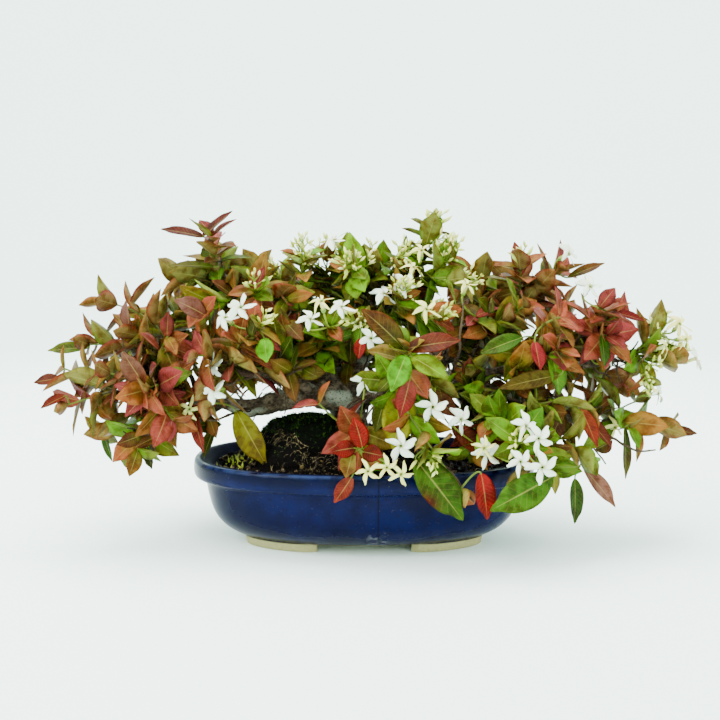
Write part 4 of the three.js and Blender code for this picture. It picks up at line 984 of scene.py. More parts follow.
def twig_line(name):
    """A twig from its limb to its spray's base, bent round to the spray's heading. It leaves the limb a
    little before the place that is nearest to the base."""
    limb, end = SPRAYS[name][:2]
    curve = limb_line(limb)[0]
    gap = np.linalg.norm(curve - end, axis=1)
    back = 0.5 * gap.min() / np.linalg.norm(np.diff(curve, axis=0), axis=1).sum()
    root = curve[max(0, int(gap.argmin() - back * (len(curve) - 1)))]
    control = end - heading(name) * 0.45 * np.linalg.norm(root - end)
    return bend(root, control, end + heading(name) * 1.5)[0](np.linspace(0, 1, TWIG_STEPS))


def wander(points, size, seed):
    """A smooth way aside for each point: a value noise in each of the three directions."""
    return np.stack([value_noise(points, size, seed + k) for k in range(3)], axis=-1)


def ring_tint(colours, sides):
    """One colour for each ring of a closed tube, and for the point that closes it at each end."""
    return np.concatenate([np.repeat(colours, sides, axis=0), colours[:1], colours[-1:]])


def one_tint(shape, code):
    """A shape with all its points in one colour."""
    shape["tint"] = np.tile(tone(code), (len(shape["points"]), 1))
    return shape


def stem_shape(shoot):
    """A shoot as a round tube, swollen at its leaf pairs, brown at its root and green at its tip."""
    share = np.linspace(-0.02, 1, 34)
    inner = np.clip(share, 0, 1)
    radii = stem_radius(shoot, inner) * 0.86
    for pair in range(shoot["pairs"]):
        radii = radii * (1 + 0.32 * np.exp(-((share - leaf_share(shoot, pair)) * shoot["run"] / 0.9) ** 2))
    radii[-1] *= 0.4
    path = shoot["point"](share)
    path = path + 0.35 * wander(path, 8, 41) * np.sin(np.pi * inner)[:, None]
    shape = tubes(path[None], radii[None], STEM_SIDES)
    green = (np.clip(share * 1.3 - 0.1, 0, 1) ** 0.7)[:, None]
    shape["tint"] = ring_tint(mixed(tone(STEM_SHADES["old"]), tone(STEM_SHADES["young"]), green), STEM_SIDES)
    return shape


def soft_stem():
    """Young stem skin in its own tint, with fine dark specks."""
    material, tree, shader, place = new_material("stem_skin", Roughness=0.55, Specular_IOR_Level=0.2)
    grain, dark = speckled(tree, place, 1400, 3, 0.42, 0.3)
    link(tree, shader, Base_Color=blended(tree, both(tree, dark, 0.5), painted_tint(tree), shade("33261c")),
         Normal=bumped(tree, grain, 0.0002, 0.6))
    return material


spray_corners = {name: node_corners(f"spray_{name}") for name in SPRAYS}
shoots = [shoot for name in SPRAYS for shoot in grow_shoots(name)]
twigs = tubes([twig_line(name) for name in SPRAYS], np.linspace(*TWIG_RADII, TWIG_STEPS)[None], 10)
finish_piece(new_mesh_object("twigs", one_tint(twigs, STEM_SHADES["twig"])), bark, "bark")
stem_skin = soft_stem()
stems = [stem_shape(shoot) for shoot in shoots]


# The leaves are leathery ovals with a drawn-out point, folded up along a pale midrib and arched to the
# tip. They stand in crossed pairs, small at the tips of the shoots, and turn from green to copper and
# wine red where the light reaches them. Each is a thin blade with both faces and a closed rim.
LEAF_LENGTH = 24
LEAF_ASPECT = 0.245
FACE_PULL = 0.8
LEAF_TRIES = 7
FILL_TRIES = (0, 7, 8, 9, 10)
LEAF_THICKNESS = 0.28
SOLID_HALF = 0.35
LEAF_FULLNESS = 1.06
YOUNG_SCALE = 0.86
LEAF_GRID, LARGE_LEAF_GRID = (10, 5), (17, 9)
LARGE_LEAF_DEPTH = 0.6
MOSS_VIEW = np.array([(-44, -200, 62), (-10, -25, 106)])
SPARSE_SPRAYS = ("left_low", "left_tip", "right_far", "right_low_far")
RIPENESS = {
    "left_tip": 0.8, "left_low": 0.48, "left_front": 0.84, "left_top": 0.82, "crest_left": 0.66,
    "crest_inner": 0.58, "crest_mid": 0.46, "front_left": 0.82, "inner_mid": 0.48, "top_mid": 0.3,
    "top_right": 0.26, "top_front": 0.4, "front_mid": 0.42, "front_low": 0.66, "low_mid": 0.42,
    "right_inner": 0.7, "right_crest": 0.86, "right_front": 0.74, "right_top": 0.88, "right_far": 0.42,
    "right_low_far": 0.38, "right_front_low": 0.3, "back_left_far": 0.64, "back_left": 0.5,
    "back_mid": 0.4, "back_right": 0.46, "back_right_far": 0.62,
}
LEAF_STAGES = ["80a622", "5a8224", "7b822e", "9a723e", "9c5c48", "8c484a"]
UNDERSIDE = "a09a66"
STAIN_SHADE = "5e161c"
STAINED_LEAF = 6
LARGE_LEAVES = [
    ([22, -72, 124], [0, -78, 148], 7.5, "60711e", "7a5a28"),
    ([23, -72, 124], [52, -84, 131], 6.5, "784e2b", "84462f"),
    ([23, -76, 121], [15, -92, 103], 6.5, "7cbc16", "72b412"),
    ([26, -76, 120], [46, -88, 110], 6.5, "9cb828", "8fb022"),
    ([21, -68, 102], [17, -76, 67], 9.5, "9aa824", "a8a830"),
    ([25, -82, 108], [20, -90, 88], 5.5, "a96458", "963836"),
    ([28, -84, 64], [54, -98, 33], 10.5, "628525", "547923"),
    ([104, -88, 55], [69, -99, 38], 9.5, "568225", "648f26"),
    ([64, -88, 57], [69, -93, 32], 6.5, "b12d34", "a1242a"),
    ([-76, -34, 84], [-58, -45, 53], 8.5, "98982a", "8e8420"),
    ([-90, -26, 72], [-97, -30, 55], 4.5, "5f6823", "4f591e"),
    ([-101, -35, 84], [-96, -39, 59], 4.5, "96323a", "a14b43"),
    ([-1, -73, 68], [-5, -77, 86], 5.5, "a02c2a", "a82824"),
    ([-5, -72, 68], [-18, -80, 68], 5, "8a3028", "982a24"),
    ([-1, -73, 66], [10, -85, 66], 5, "7a3a24", "8a2e24"),
    ([-7, -73, 65], [-10, -81, 53], 5.5, "a39a4c", "9a7c40"),
    ([-7, -79, 53], [-16, -85, 39], 4.5, "945541", "9a4638"),
    ([-57, -58, 129], [-55, -65, 116], 5.5, "8fce1c", "80c01a"),
    ([97, -58, 127], [99, -67, 112], 5, "b14651", "a13743"),
    ([92, -42, 128], [67, -48, 120], 5.5, "568225", "648028"),
    ([113, -51, 107], [77, -55, 101], 5.5, "76762f", "7f6f30"),
    ([82, -41, 97], [70, -49, 82], 6, "537723", "476c20"),
    ([86, -85, 73], [67, -89, 88], 6, "8cb62b", "81ab28"),
    ([126, -41, 88], [136, -51, 65], 6, "9a552d", "a1462b"),
    ([122, -53, 47], [122, -61, 22], 5.5, "567b24", "4b6d20"),
    ([127, -51, 53], [146, -59, 32], 5.5, "93705c", "a88272"),
    ([155, -31, 74], [157, -37, 43], 4, "537123", "6a6a2c"),
    ([189, -1, 67], [208, 1, 65], 3.5, "7a5a34", "6f4a2c"),
    ([140, -32, 129], [142, -40, 111], 4.5, "568025", "4f7723"),
    ([-99, 0, 186], [-81, 2, 203], 5, "75462f", "773b31"),
    ([-98, 2, 186], [-125, 4, 193], 4.5, "754b2b", "7b3e2d"),
    ([-91, -5, 168], [-117, -11, 171], 4, "5c772a", "72702f"),
    ([126, 6, 161], [148, 5, 172], 3.5, "74702f", "7c5a2e"),
    ([149, -11, 141], [171, -9, 137], 4, "9a3732", "892c32"),
    ([-170, 0, 118], [-195, -3, 118], 5, "648225", "728628"),
    ([-184, -17, 101], [-201, -15, 99], 4, "844f2f", "753e2b"),
    ([-178, -28, 92], [-192, -34, 86], 4.5, "8d442a", "863829"),
    ([-162, -1, 66], [-156, -5, 48], 3.5, "567e24", "4f7723"),
    ([-130, -31, 62], [-126, -35, 49], 3.5, "5c6822", "536320"),
    ([-126, -57, 102], [-137, -62, 121], 7, "8e5a39", "94705f"),
    ([-141, -16, 129], [-143, -22, 148], 6.5, "84513a", "987468"),
    ([-92, -38, 140], [-109, -45, 151], 6.5, "89523a", "987468"),
    ([50, -58, 78], [73, -66, 62], 6.5, "7c4526", "8a4428"),
    ([86, -58, 76], [68, -68, 58], 6, "84502c", "7c3a26"),
    ([36, -52, 98], [54, -60, 84], 6, "70602c", "7a4c2c"),
    ([12, -60, 96], [6, -66, 76], 5, "5f7426", "6a702c"),
    ([118, -36, 84], [106, -45, 62], 5.5, "7d6a3c", "8a6048"),
    ([130, -34, 82], [146, -43, 64], 5.5, "8a5436", "84483a"),
    ([114, -30, 82], [126, -42, 60], 5, "6c7a2a", "75702e"),
    ([104, -34, 88], [94, -44, 70], 5, "5f8026", "6c7a2c"),
    ([-2, -50, 128], [-3, -56, 117], 3.6, "b02430", "a01c2c"),
]


def within(box, place):
    """Whether a place lies between a box's two corners."""
    return bool(np.all((box[0] < place) & (place < box[1])))


def leaf_at(shoot, pair, side, attempt):
    """A leaf of a crossed pair: it leaves its side of the shoot, more upright and smaller at the tip, and
    turns its face up, out and towards the tip."""
    draw = draws(int(shoot_seed(shoot) + 211 * pair + 97 * side + 17 * attempt + 5))
    rank = pair / (shoot["pairs"] - 1)
    share = leaf_share(shoot, pair)
    along = shoot["direction"](share)
    loose = 1 + 0.25 * attempt
    quarter = (pair + 2 * side) % 4
    tilt = 1.15 - 0.3 * rank + (next(draw) - 0.5) * 0.5 * loose
    spread = side_normal(shoot, share, quarter + (next(draw) - 0.5) * 0.57 * loose)
    base = shoot["point"](share)
    direction = along * np.cos(tilt) + spread * np.sin(tilt)
    direction = unit(direction + UP * (-0.1 - 0.3 * next(draw) * (1 - rank)))
    normal = along + 0.5 * UP + 0.8 * unit(base - CENTRE) - 0.3 * spread + drawn_vector(draw) * 0.9
    normal = unit(normal - direction * (normal @ direction))
    normal = unit(normal + FACE_PULL * unit(along - direction * (along @ direction)))
    length = LEAF_LENGTH * (0.68 if rank == 1 else 1) * (0.86 + 0.3 * next(draw))
    half = LEAF_ASPECT * length * (0.88 + 0.24 * next(draw))
    return {"base": base, "direction": direction, "normal": normal, "length": length, "half": half,
            "arch": 0.06 + 0.14 * next(draw), "fold": 0.2 + 0.35 * next(draw), "rank": rank}


def tip_points(leaf):
    """The two corners of the CAD blade's tip, above and below."""
    tip = leaf["base"] + leaf["direction"] * leaf["length"] - leaf["normal"] * leaf["arch"] * leaf["length"]
    return [tip + leaf["normal"] * SOLID_HALF, tip - leaf["normal"] * SOLID_HALF]


def large_leaf(base, tip, half):
    """A single leaf from its stalk's end to its tip that faces up, out and a little to the front."""
    base = np.array(base, float)
    run = tip - base
    direction = unit(run)
    normal = np.array([0, -0.55, 0.45]) + 0.6 * unit(base - CENTRE)
    return {"base": base, "direction": direction, "normal": unit(normal - direction * (normal @ direction)),
            "length": np.linalg.norm(run), "half": half, "arch": 0.08, "fold": 0.3, "rank": 0.5}


def blade_samples(leaf):
    """Six points along and beside a blade's middle, to keep new leaves apart."""
    side = np.cross(leaf["normal"], leaf["direction"])
    along = np.array([0.4, 0.6, 0.6, 0.8, 0.8, 1])[:, None] * leaf["length"]
    across = np.array([0, 0.7, -0.7, 0.4, -0.4, 0])[:, None] * leaf["half"]
    return leaf["base"] + leaf["direction"] * along + side * across


def ripe_colour(stage):
    """The colour of a leaf between lime green at stage 0 and wine red at stage 1."""
    stages = tones(LEAF_STAGES)
    place = np.clip(stage, 0, 1) * (len(stages) - 1)
    low = int(min(place, len(stages) - 2))
    return mixed(stages[low], stages[low + 1], place - low)


def thin_sheets(values):
    """Closed thin sheets from grids (copies, rows, columns, n): each value has one grid for the upper face
    and one for the lower, and the two faces share the points of their rim."""
    count, rows, columns, _ = values["points"][0].shape
    shape = {}
    for key, (upper, lower) in values.items():
        depth = upper.shape[-1]
        grids = [upper.reshape(count, -1, depth), lower[:, 1:-1, 1:-1].reshape(count, -1, depth)]
        shape[key] = np.concatenate(grids, axis=1).reshape(-1, depth)
    above = np.arange(rows * columns).reshape(rows, columns)
    below = above.copy()
    below[1:-1, 1:-1] = rows * columns + np.arange((rows - 2) * (columns - 2)).reshape(rows - 2, columns - 2)
    facing_up = np.stack([above[:-1, :-1], above[1:, :-1], above[1:, 1:], above[:-1, 1:]], axis=-1)
    facing_down = np.stack([below[:-1, :-1], below[:-1, 1:], below[1:, 1:], below[1:, :-1]], axis=-1)
    stride = len(shape["points"]) // count
    shape["faces"] = [copied(quads.reshape(-1, 4), count, stride) for quads in (facing_up, facing_down)]
    return shape


def blades(leaves, rows, columns):
    """Blades with u from 0 at the stalk to 1 at the tip and v from -1 to 1 across. The half width is
    w sin(pi u^0.94)^0.76, drawn in before the tip, and the rise is fold half |v| - arch length u^2 plus a
    wave along the margins."""
    def given(key):
        return np.array([leaf[key] for leaf in leaves], float).reshape(len(leaves), 1, 1, -1)

    u, v = np.meshgrid(1 - (1 - np.linspace(0, 1, rows)) ** 1.15, np.linspace(-1, 1, columns), indexing="ij")
    u, v = u[None, ..., None], v[None, ..., None]
    direction, normal, length = given("direction"), given("normal"), given("length")
    drawn_in = 1 - 0.28 * np.sin(np.pi * np.clip((u - 0.78) / 0.22, 0, 1))
    half = given("half") * np.maximum(0, np.sin(np.pi * u ** 0.94)) ** 0.76 * drawn_in
    half = half + 0.42 * (1 - u) ** 6 + 0.05
    wave = given("wave") * half * v ** 2 * np.sin(7 * u + given("phase") + 1.6 * v)
    rise = given("fold") * half * (np.sqrt(v * v + 0.012) - 0.11) - given("arch") * length * u ** 2 + wave
    aside = half * v + given("sweep") * length * u ** 2
    top = given("base") + direction * length * u + np.cross(normal, direction) * aside + normal * rise
    body = LEAF_THICKNESS * np.minimum(1, 6 * u * (1 - u)) * (1 - v ** 4)
    under = top - normal * body * (1 + 1.6 * np.exp(-(v / 0.16) ** 2) * (1 - u))
    tint = mixed(given("near"), given("far"), np.clip(u * 1.5 + 0.3 * np.abs(v) - 0.15, 0, 1))
    stain = np.exp(-((u - 0.56) / 0.14) ** 2 - ((v + 0.95) / 0.5) ** 2) * given("stain")
    tint = mixed(tint, tone(STAIN_SHADE), stain)
    pale = tint * 0.4 + tone(UNDERSIDE) * 0.55
    leaf_map = np.concatenate([u + 0 * v, (v + 1) / 2 + 0 * u], axis=-1) * np.ones((len(leaves), 1, 1, 1))
    return thin_sheets({"points": (top, under), "uv": (leaf_map, leaf_map), "tint": (tint, pale)})


def vein_group():
    """A pattern in a leaf's own map: a midrib, eleven pairs of side veins that run forward to the margin,
    and their height."""
    group, given, leave = new_group("leaf_veins", {"Map": "Vector"}, ("Rib", "Vein", "Height"))
    along, across, _ = add_node(group, "SeparateXYZ", {0: given["Map"]}).outputs
    aside = both(group, calc(group, "ABSOLUTE", calc(group, "SUBTRACT", across, 0.5)), 2)
    narrow = calc(group, "SUBTRACT", 0.095, both(group, along, 0.055))
    rib = calc(group, "SUBTRACT", 1, calc(group, "SMOOTH_MIN", 1, calc(group, "DIVIDE", aside, narrow), 0.3))
    phase = calc(group, "SUBTRACT", both(group, along, 11), both(group, aside, 2.4))
    phase = calc(group, "ADD", phase, both(group, both(group, aside, aside), 0.6))
    crest = calc(group, "ABSOLUTE", calc(group, "SUBTRACT", calc(group, "FRACT", phase), 0.5))
    vein = both(group, ramp(group, crest, 0.13, 0.02), ramp(group, aside, 1, 0.75))
    height = calc(group, "SUBTRACT", 1, calc(group, "MAXIMUM", rib, both(group, vein, 0.6)))
    for name, socket in (("Rib", rib), ("Vein", vein), ("Height", height)):
        group.links.new(socket, leave[name])
    return group


def leaf_skin():
    """Leathery leaf skin in its own tint: mottled, paler along the midrib and the veins, satin."""
    material, tree, shader, place = new_material("leaf_skin", Subsurface_Weight=0.05, Subsurface_Scale=0.002,
                                                 Specular_IOR_Level=0.05)
    tint = painted_tint(tree)
    leaf_map = tree.nodes.new("ShaderNodeUVMap").outputs[0]
    rib, vein, height = add_node(tree, "Group", {0: leaf_map}, node_tree=vein_group()).outputs
    blotch, dull = speckled(tree, place, 170, 4, 0.6, 0.35)
    speck, dots = speckled(tree, place, 1500, 3, 0.55, 0.8)
    colour = blended(tree, dull, tint, blended(tree, 1.0, tint, shade("d2bfae"), "MULTIPLY"))
    colour = blended(tree, both(tree, dots, 0.22), colour, shade("a98a4a"))
    pale = blended(tree, 0.55, tint, shade("dcd08a"))
    lines = calc(tree, "ADD", both(tree, rib, 0.36), both(tree, vein, 0.05))
    link(tree, shader, Base_Color=blended(tree, lines, colour, pale),
         Roughness=calc(tree, "ADD", 0.36, both(tree, speck, 0.16)),
         Normal=bumped(tree, calc(tree, "ADD", height, both(tree, blotch, 0.8)), 0.0003, 0.42))
    return material


def stalk_shape(start, end, arrive, radii, code, steps=10, sides=6):
    """A thin stalk that arrives along a direction."""
    path = bend(start, end - arrive * 0.4 * np.linalg.norm(end - start), end)[0](np.linspace(0, 1, steps))
    return one_tint(tubes(path[None], np.linspace(*radii, steps)[None], sides), code)


def solid_pairs(shoot):
    """The leaf pairs that stand in the CAD: a shoot's last, and on a leading shoot the one two below it."""
    last = shoot["pairs"] - 1
    return (last,) if shoot["j"] else (last, last - 2)


def solid_leaf(shoot, pair, side):
    """A leaf at the exact place that it has in the CAD, or none where the CAD leaves it out."""
    leaf, gap, _ = best_try(LEAF_TRIES, lambda attempt: leaf_at(shoot, pair, side, attempt),
                            lambda one: misfit(spray_corners[shoot["name"]], tip_points(one)))
    return leaf if gap < FIT else None


def filled_leaf(shoot, pair, side, taken):
    """A leaf that the CAD leaves out: the try with the most room round it, and a small young one where it
    stands halfway between two pairs."""
    tries = [leaf_at(shoot, pair, side, attempt) for attempt in FILL_TRIES]
    room = [((blade_samples(one)[:, None] - taken[None]) ** 2).sum(axis=-1).min() for one in tries]
    leaf = tries[int(np.argmax(room))]
    leaf["length"] *= YOUNG_SCALE if pair % 1 else 1
    return leaf


leaves = {name: [] for name in SPRAYS}
missing = []
for shoot in shoots:
    for pair in np.arange(0, shoot["pairs"] - 0.5, 1 if shoot["name"] in SPARSE_SPRAYS else 0.5):
        for side in (0, 1):
            leaf = solid_leaf(shoot, pair, side) if pair in solid_pairs(shoot) else None
            if leaf:
                leaves[shoot["name"]].append(leaf)
            else:
                missing.append((shoot, pair, side))

large = []
for number, (base, tip, half, near, far) in enumerate(LARGE_LEAVES):
    leaf = large_leaf(base, tip, half)
    leaf.update(near=tone(near) * LARGE_LEAF_DEPTH, far=tone(far) * LARGE_LEAF_DEPTH,
                stain=float(number == STAINED_LEAF))
    spots = nearest_stems(leaf["base"], leaf["direction"])[:8]
    found = [spot for spot in spots if misfit(spray_corners[spot[0]["name"]], tip_points(leaf)) < FIT]
    shoot, share = (found or spots)[0]
    leaf["name"] = shoot["name"]
    large.append(leaf)
    stems.append(stalk_shape(shoot["point"](share), leaf["base"] + leaf["direction"] * 1.2, leaf["direction"],
                             (0.6, 0.42), STEM_SHADES["young"], steps=12, sides=8))

taken = np.concatenate([blade_samples(leaf) for leaf in [*sum(leaves.values(), []), *large]])
for shoot, pair, side in missing:
    leaf = filled_leaf(shoot, pair, side, taken)
    if not within(MOSS_VIEW, leaf["base"] + leaf["direction"] * leaf["length"] / 2):
        taken = np.concatenate([taken, blade_samples(leaf)])
        leaves[shoot["name"]].append(leaf)

rng = np.random.default_rng(51)
leaf_finish = leaf_skin()
for name in SPRAYS:
    for leaf in leaves[name]:
        stage = RIPENESS[name] + rng.normal(-0.04, 0.23) + 0.16 * (leaf["rank"] - 0.6)
        glow = rng.uniform(0.75, 1.3)
        leaf["far"] = ripe_colour(stage) * glow
        leaf["near"] = ripe_colour(stage - rng.uniform(0.08, 0.3)) * glow
    wide = [leaf for leaf in large if leaf["name"] == name]
    for leaf in leaves[name] + wide:
        leaf.update(wave=rng.uniform(0.02, 0.1), phase=rng.uniform(0, 6), sweep=rng.normal(0, 0.035))
    small = [leaf | {"stain": 0, "half": leaf["half"] * LEAF_FULLNESS} for leaf in leaves[name]]
    parts = [blades(small, *LEAF_GRID)] + ([blades(wide, *LARGE_LEAF_GRID)] if wide else [])
    finish_piece(new_mesh_object(f"leaves_{name}", joined(parts)), leaf_finish, "leaves", f"spray_{name}")


# Inside the crown a tangle of thin dark twigs runs from the limbs up to the shoots, some with small
# leaves darkened by painted shade and some dead and bare. A few dead twigs stick out under the leaves and
# over the pot.
INNER_TWIGS_TO_EACH = 2
LIMB_TWIGS = 175
INNER_LEAVES = 3
INNER_LEAF_GRID = (7, 5)
FULL_CROWN = 142
LONGEST_TWIG = 52
TANGLE_STEPS, LIMB_ROOT_STEPS = 14, 8
BARE_VIEW = np.array([(-92, -200, 0), (16, 4, 107)])
BARE_LIMBS = ("stump", "stem_pale", "stem_dark", "sucker")
TANGLE_SHADES = ["43362b", "7a6a55"]
DEAD_TWIGS = [
    [[-104, -20, 76], [-118, -27, 72], [-130, -31, 73], [-141, -34, 73]],
    [[-100, -20, 76], [-114, -26, 70], [-129, -31, 64], [-143, -35, 71]],
    [[70, -30, 97], [84, -40, 92], [98, -42, 86], [115, -44, 78]],
    [[84, -44, 82], [92, -45, 84], [99, -44, 88], [106, -43, 92]],
    [[56, -20, 92], [64, -40, 82], [72, -48, 74], [80, -52, 66]],
    [[18, -42, 70], [34, -66, 64], [46, -78, 58], [54, -82, 48], [61, -82, 39]],
    [[52, -12, 100], [55, -38, 118], [56, -42, 134], [58, -42, 151]],
    [[136, -16, 73], [150, -30, 66], [162, -36, 60], [173, -36, 61]],
    [[-60, -10, 85], [-76, -30, 82], [-88, -34, 78], [-98, -36, 80]],
]


def tangle():
    """Twigs from the nearest limbs to places near the shoots' lower halves, and shorter ones from all along
    the limbs, each bent and a little crooked."""
    rng = np.random.default_rng(55)
    wooded = [name for name in LIMBS if name not in BARE_LIMBS]
    wood_points = np.concatenate([limb_line(name)[0][LIMB_ROOT_STEPS:] for name in wooded])
    starts, ends = [], []
    for shoot in shoots:
        for _ in range(INNER_TWIGS_TO_EACH):
            end = shoot["point"](rng.uniform(0.05, 0.75)) + rng.normal(0, 5, 3)
            gaps = np.linalg.norm(wood_points - end, axis=1)
            start = wood_points[max(0, int(gaps.argmin()) - rng.integers(1, 6))]
            if np.linalg.norm(end - start) < LONGEST_TWIG:
                starts.append(start)
                ends.append(end)
    limb_starts = wood_points[rng.integers(0, len(wood_points), LIMB_TWIGS)]
    lift = np.where(limb_starts[:, :1] > 5, -0.5, 0.45)
    away = unit(rng.normal(0, 1, (LIMB_TWIGS, 3)) * [1.4, 1, 0.8] + UP * lift)
    starts = np.concatenate([starts, limb_starts])
    ends = np.concatenate([ends, limb_starts + away * rng.uniform(14, 34, (LIMB_TWIGS, 1))])
    run = np.linalg.norm(ends - starts, axis=1)[:, None]
    aside = rng.normal(0, 0.16, (len(starts), 3)) * run
    middle = (starts + ends) / 2 + aside - UP * 0.05 * run
    share = np.linspace(0, 1, TANGLE_STEPS)
    path = bend(starts[:, None], middle[:, None], ends[:, None])[0](share)
    return path + wander(path, 6, 81) * 1.5 * np.sin(np.pi * share)[:, None]


def tangle_leaves(paths):
    """Small leaves along the outer half of each twig, faces turned out to the crown's nearer side. The
    front of the left limb stays bare, and so do the twigs at both ends of the crown."""
    rng = np.random.default_rng(57)
    half = TANGLE_STEPS // 2
    grown = []
    for path in paths:
        for k in range(INNER_LEAVES):
            base = path[int(half + (half - 1) * (k + rng.uniform()) / INNER_LEAVES)]
            if abs(base[0]) > FULL_CROWN or within(BARE_VIEW, base):
                continue
            out = unit(base - CENTRE)
            direction = unit(unit(path[-1] - path[0]) * 0.5 + rng.normal(0, 0.7, 3) + out * 0.4 - UP * 0.15)
            normal = out * 1.1 + np.array([0, -0.6 if base[1] < 30 else 0.5, 0.4]) + rng.normal(0, 0.45, 3)
            length = rng.uniform(12, 20)
            normal = unit(normal - direction * (normal @ direction))
            grown.append({
                "base": base, "direction": direction, "normal": normal, "length": length,
                "half": length * rng.uniform(0.26, 0.34), "arch": rng.uniform(0.05, 0.2),
                "fold": rng.uniform(0.1, 0.4), "wave": rng.uniform(0.02, 0.1), "phase": rng.uniform(0, 6),
                "sweep": rng.normal(0, 0.04), "stain": 0,
            })
    return grown


def shaded_colour(base, rng):
    """Dark green to brown, redder to the left and to the right end of the crown, darkened as painted shade.
    """
    stage = 0.32 + 0.3 * np.clip(abs(base[0] + 10) / 120, 0, 1) + rng.normal(0, 0.2)
    # The factor from 0.22 to 0.6 is painted shade inside the crown.
    return ripe_colour(stage) * rng.uniform(0.22, 0.6)


tangle_paths = tangle()
rng = np.random.default_rng(59)
twig_girth = np.linspace(0.75, 0.38, TANGLE_STEPS) * rng.uniform(0.7, 1.25, (len(tangle_paths), 1))
bare_shapes = [tubes(tangle_paths, twig_girth, 5)]
for points in DEAD_TWIGS:
    path = through(points, 8)
    path = path + 0.8 * wander(path, 4, 85)
    knots = 1 + 0.35 * np.maximum(0, np.sin(np.arange(len(path)) * 1.3)) ** 4
    bare_shapes.append(tubes(path[None], (np.linspace(0.95, 0.45, len(path)) * knots)[None], 8))
for shape in bare_shapes:
    dry = value_noise(shape["points"], 14, 88)[:, None] * 0.5 + 0.5
    shape["tint"] = mixed(*tones(TANGLE_SHADES), dry)
finish_piece(new_mesh_object("twig_tangle", joined(bare_shapes)), bark, "bark")
inner_leaves = tangle_leaves(tangle_paths)
for leaf in inner_leaves:
    leaf["far"] = shaded_colour(leaf["base"], rng)
    leaf["near"] = leaf["far"] * 0.5 + ripe_colour(0.25) * 0.4
finish_piece(new_mesh_object("inner_leaves", blades(inner_leaves, *INNER_LEAF_GRID)), leaf_finish, "leaves")


# Flowers open at the tips of thin stalks: five white oblique petals turned like a pinwheel on a slim
# cream tube, with a green throat, in a small green calyx. Older ones fade to cream. Buds stand in loose
# heads at the tips of some shoots, as pale spindles.
BLOOMS = [
    (-88, -47, 115), (-86, -54, 99), (-102, -44, 86), (-70, -58, 146, -79, -56, 140), (-31, -52, 139),
    (-13, -54, 146), (-18, -2, 184), (12, -22, 152), (30, -16, 168, 24, -22, 158), (36, -42, 144),
    (4, -52, 128), (1, -54, 103), (38, -78, 92), (54, -72, 84), (84, -99, 65, 96, -98, 62),
    (94, -94, 76, 87, -90, 84), (20, -88, 72), (68, -80, 66), (193, -4, 133), (203, -6, 112),
    (155, -24, 75), (178, -16, 92), (146, -20, 116), (124, -6, 176), (136, -14, 156),
    (-52, 88, 147, -42, 90, 141), (24, 86, 153, 34, 88, 147),
]
PETALS = 5
PETAL_LENGTH, PETAL_HALF_WIDTH = 9.5, 2.3
PETAL_RIM = [(0.84, -1), (1, 0.8)]
TUBE_LENGTH = 7
CALYX_DROP = 8.2
BLOOM_TRIES = 60
BUD_LENGTH = 10
BUD_TRIES = 5
BUD_SHADES = [("aeb848", "dadf8c"), ("93a43a", "c2c95e"), ("b6c05a", "e6e7ac")]
TRUSS_SPRAYS = ("top_right", "top_mid", "top_front", "crest_mid", "right_far")
OLD_BLOOMS = (2, 8, 9, 18, 20)
FADED_BLOOMS = [
    (2, -90, 58), (12, -94, 61), (20, -92, 57), (-24, -70, 150), (66, -84, 70), (182, -14, 120),
    (196, -8, 124), (60, -34, 158), (34, -20, 178),
]
PETAL_ROWS, PETAL_COLUMNS = 10, 7
FRESH_PETAL, FADED_PETAL, PETAL_THROAT = "eff0e2", "e8e09a", "b7c060"
TUBE = [
    (0.75, -7.2, "a9b35c"), (0.85, -5, "c3c77a"), (1.25, -3, "dcdc9c"), (1.1, -1.6, "e2e3ae"),
    (1.35, -0.4, "eceecb"), (1.75, 0.45, "e4e8ae"), (1.35, 0.6, "c2c965"), (0.8, 0.1, "8f9c3a"),
    (0.35, -0.9, "5f6f25"),
]
CALYX = [
    (0.5, -8.4, "6f8a3a"), (1.15, -7.7, "7f9a42"), (1.3, -6.6, "8aa548"), (1.5, -5.4, "94ad50"),
    (1.0, -5.7, "7f9a42"),
]


def bloom_at(throat, number, attempt):
    """A flower that faces out and to its nearer side, at a place nudged by its try."""
    draw = draws(60013 + 401 * number + 7 * attempt)
    front = np.array([0, -0.7, 0.3] if throat[1] < 20 else [0, 0.4, 0.5])
    sway = drawn_vector(draw)
    facing = unit(0.6 * unit(throat - CENTRE) + front + 0.8 * sway)
    first, second = square_to(facing)
    throat = throat + drawn_vector(draw) * 0.4 * attempt
    return {"throat": throat, "facing": facing, "first": first, "second": second, "spin": next(draw) * 6,
            "old": False, "scale": 1}


def petal_points(bloom, turn, along, across, half=None, roll=0.35):
    """Points of a petal, u along it and v across: reach L (u + 0.08 v u) out, 0.28 L u^2 + half v aside and
    0.9 sin(pi u) - roll v half + 0.3 up. The half width is W sin(pi (0.08 + 0.72 u))^0.8 if none is given."""
    spread = bloom["first"] * np.cos(turn) + bloom["second"] * np.sin(turn)
    aside = np.cross(bloom["facing"], spread)
    if half is None:
        half = PETAL_HALF_WIDTH * np.sin(np.pi * np.minimum(1, 0.08 + 0.72 * along)) ** 0.8
    skew = 0.28 * PETAL_LENGTH * along * along
    lift = 0.9 * np.sin(np.pi * along) - roll * across * half + 0.3
    reach = PETAL_LENGTH * (along + 0.08 * across * along)
    petal = spread * reach + aside * (skew + half * across) + bloom["facing"] * lift
    return bloom["throat"] + petal * bloom["scale"]


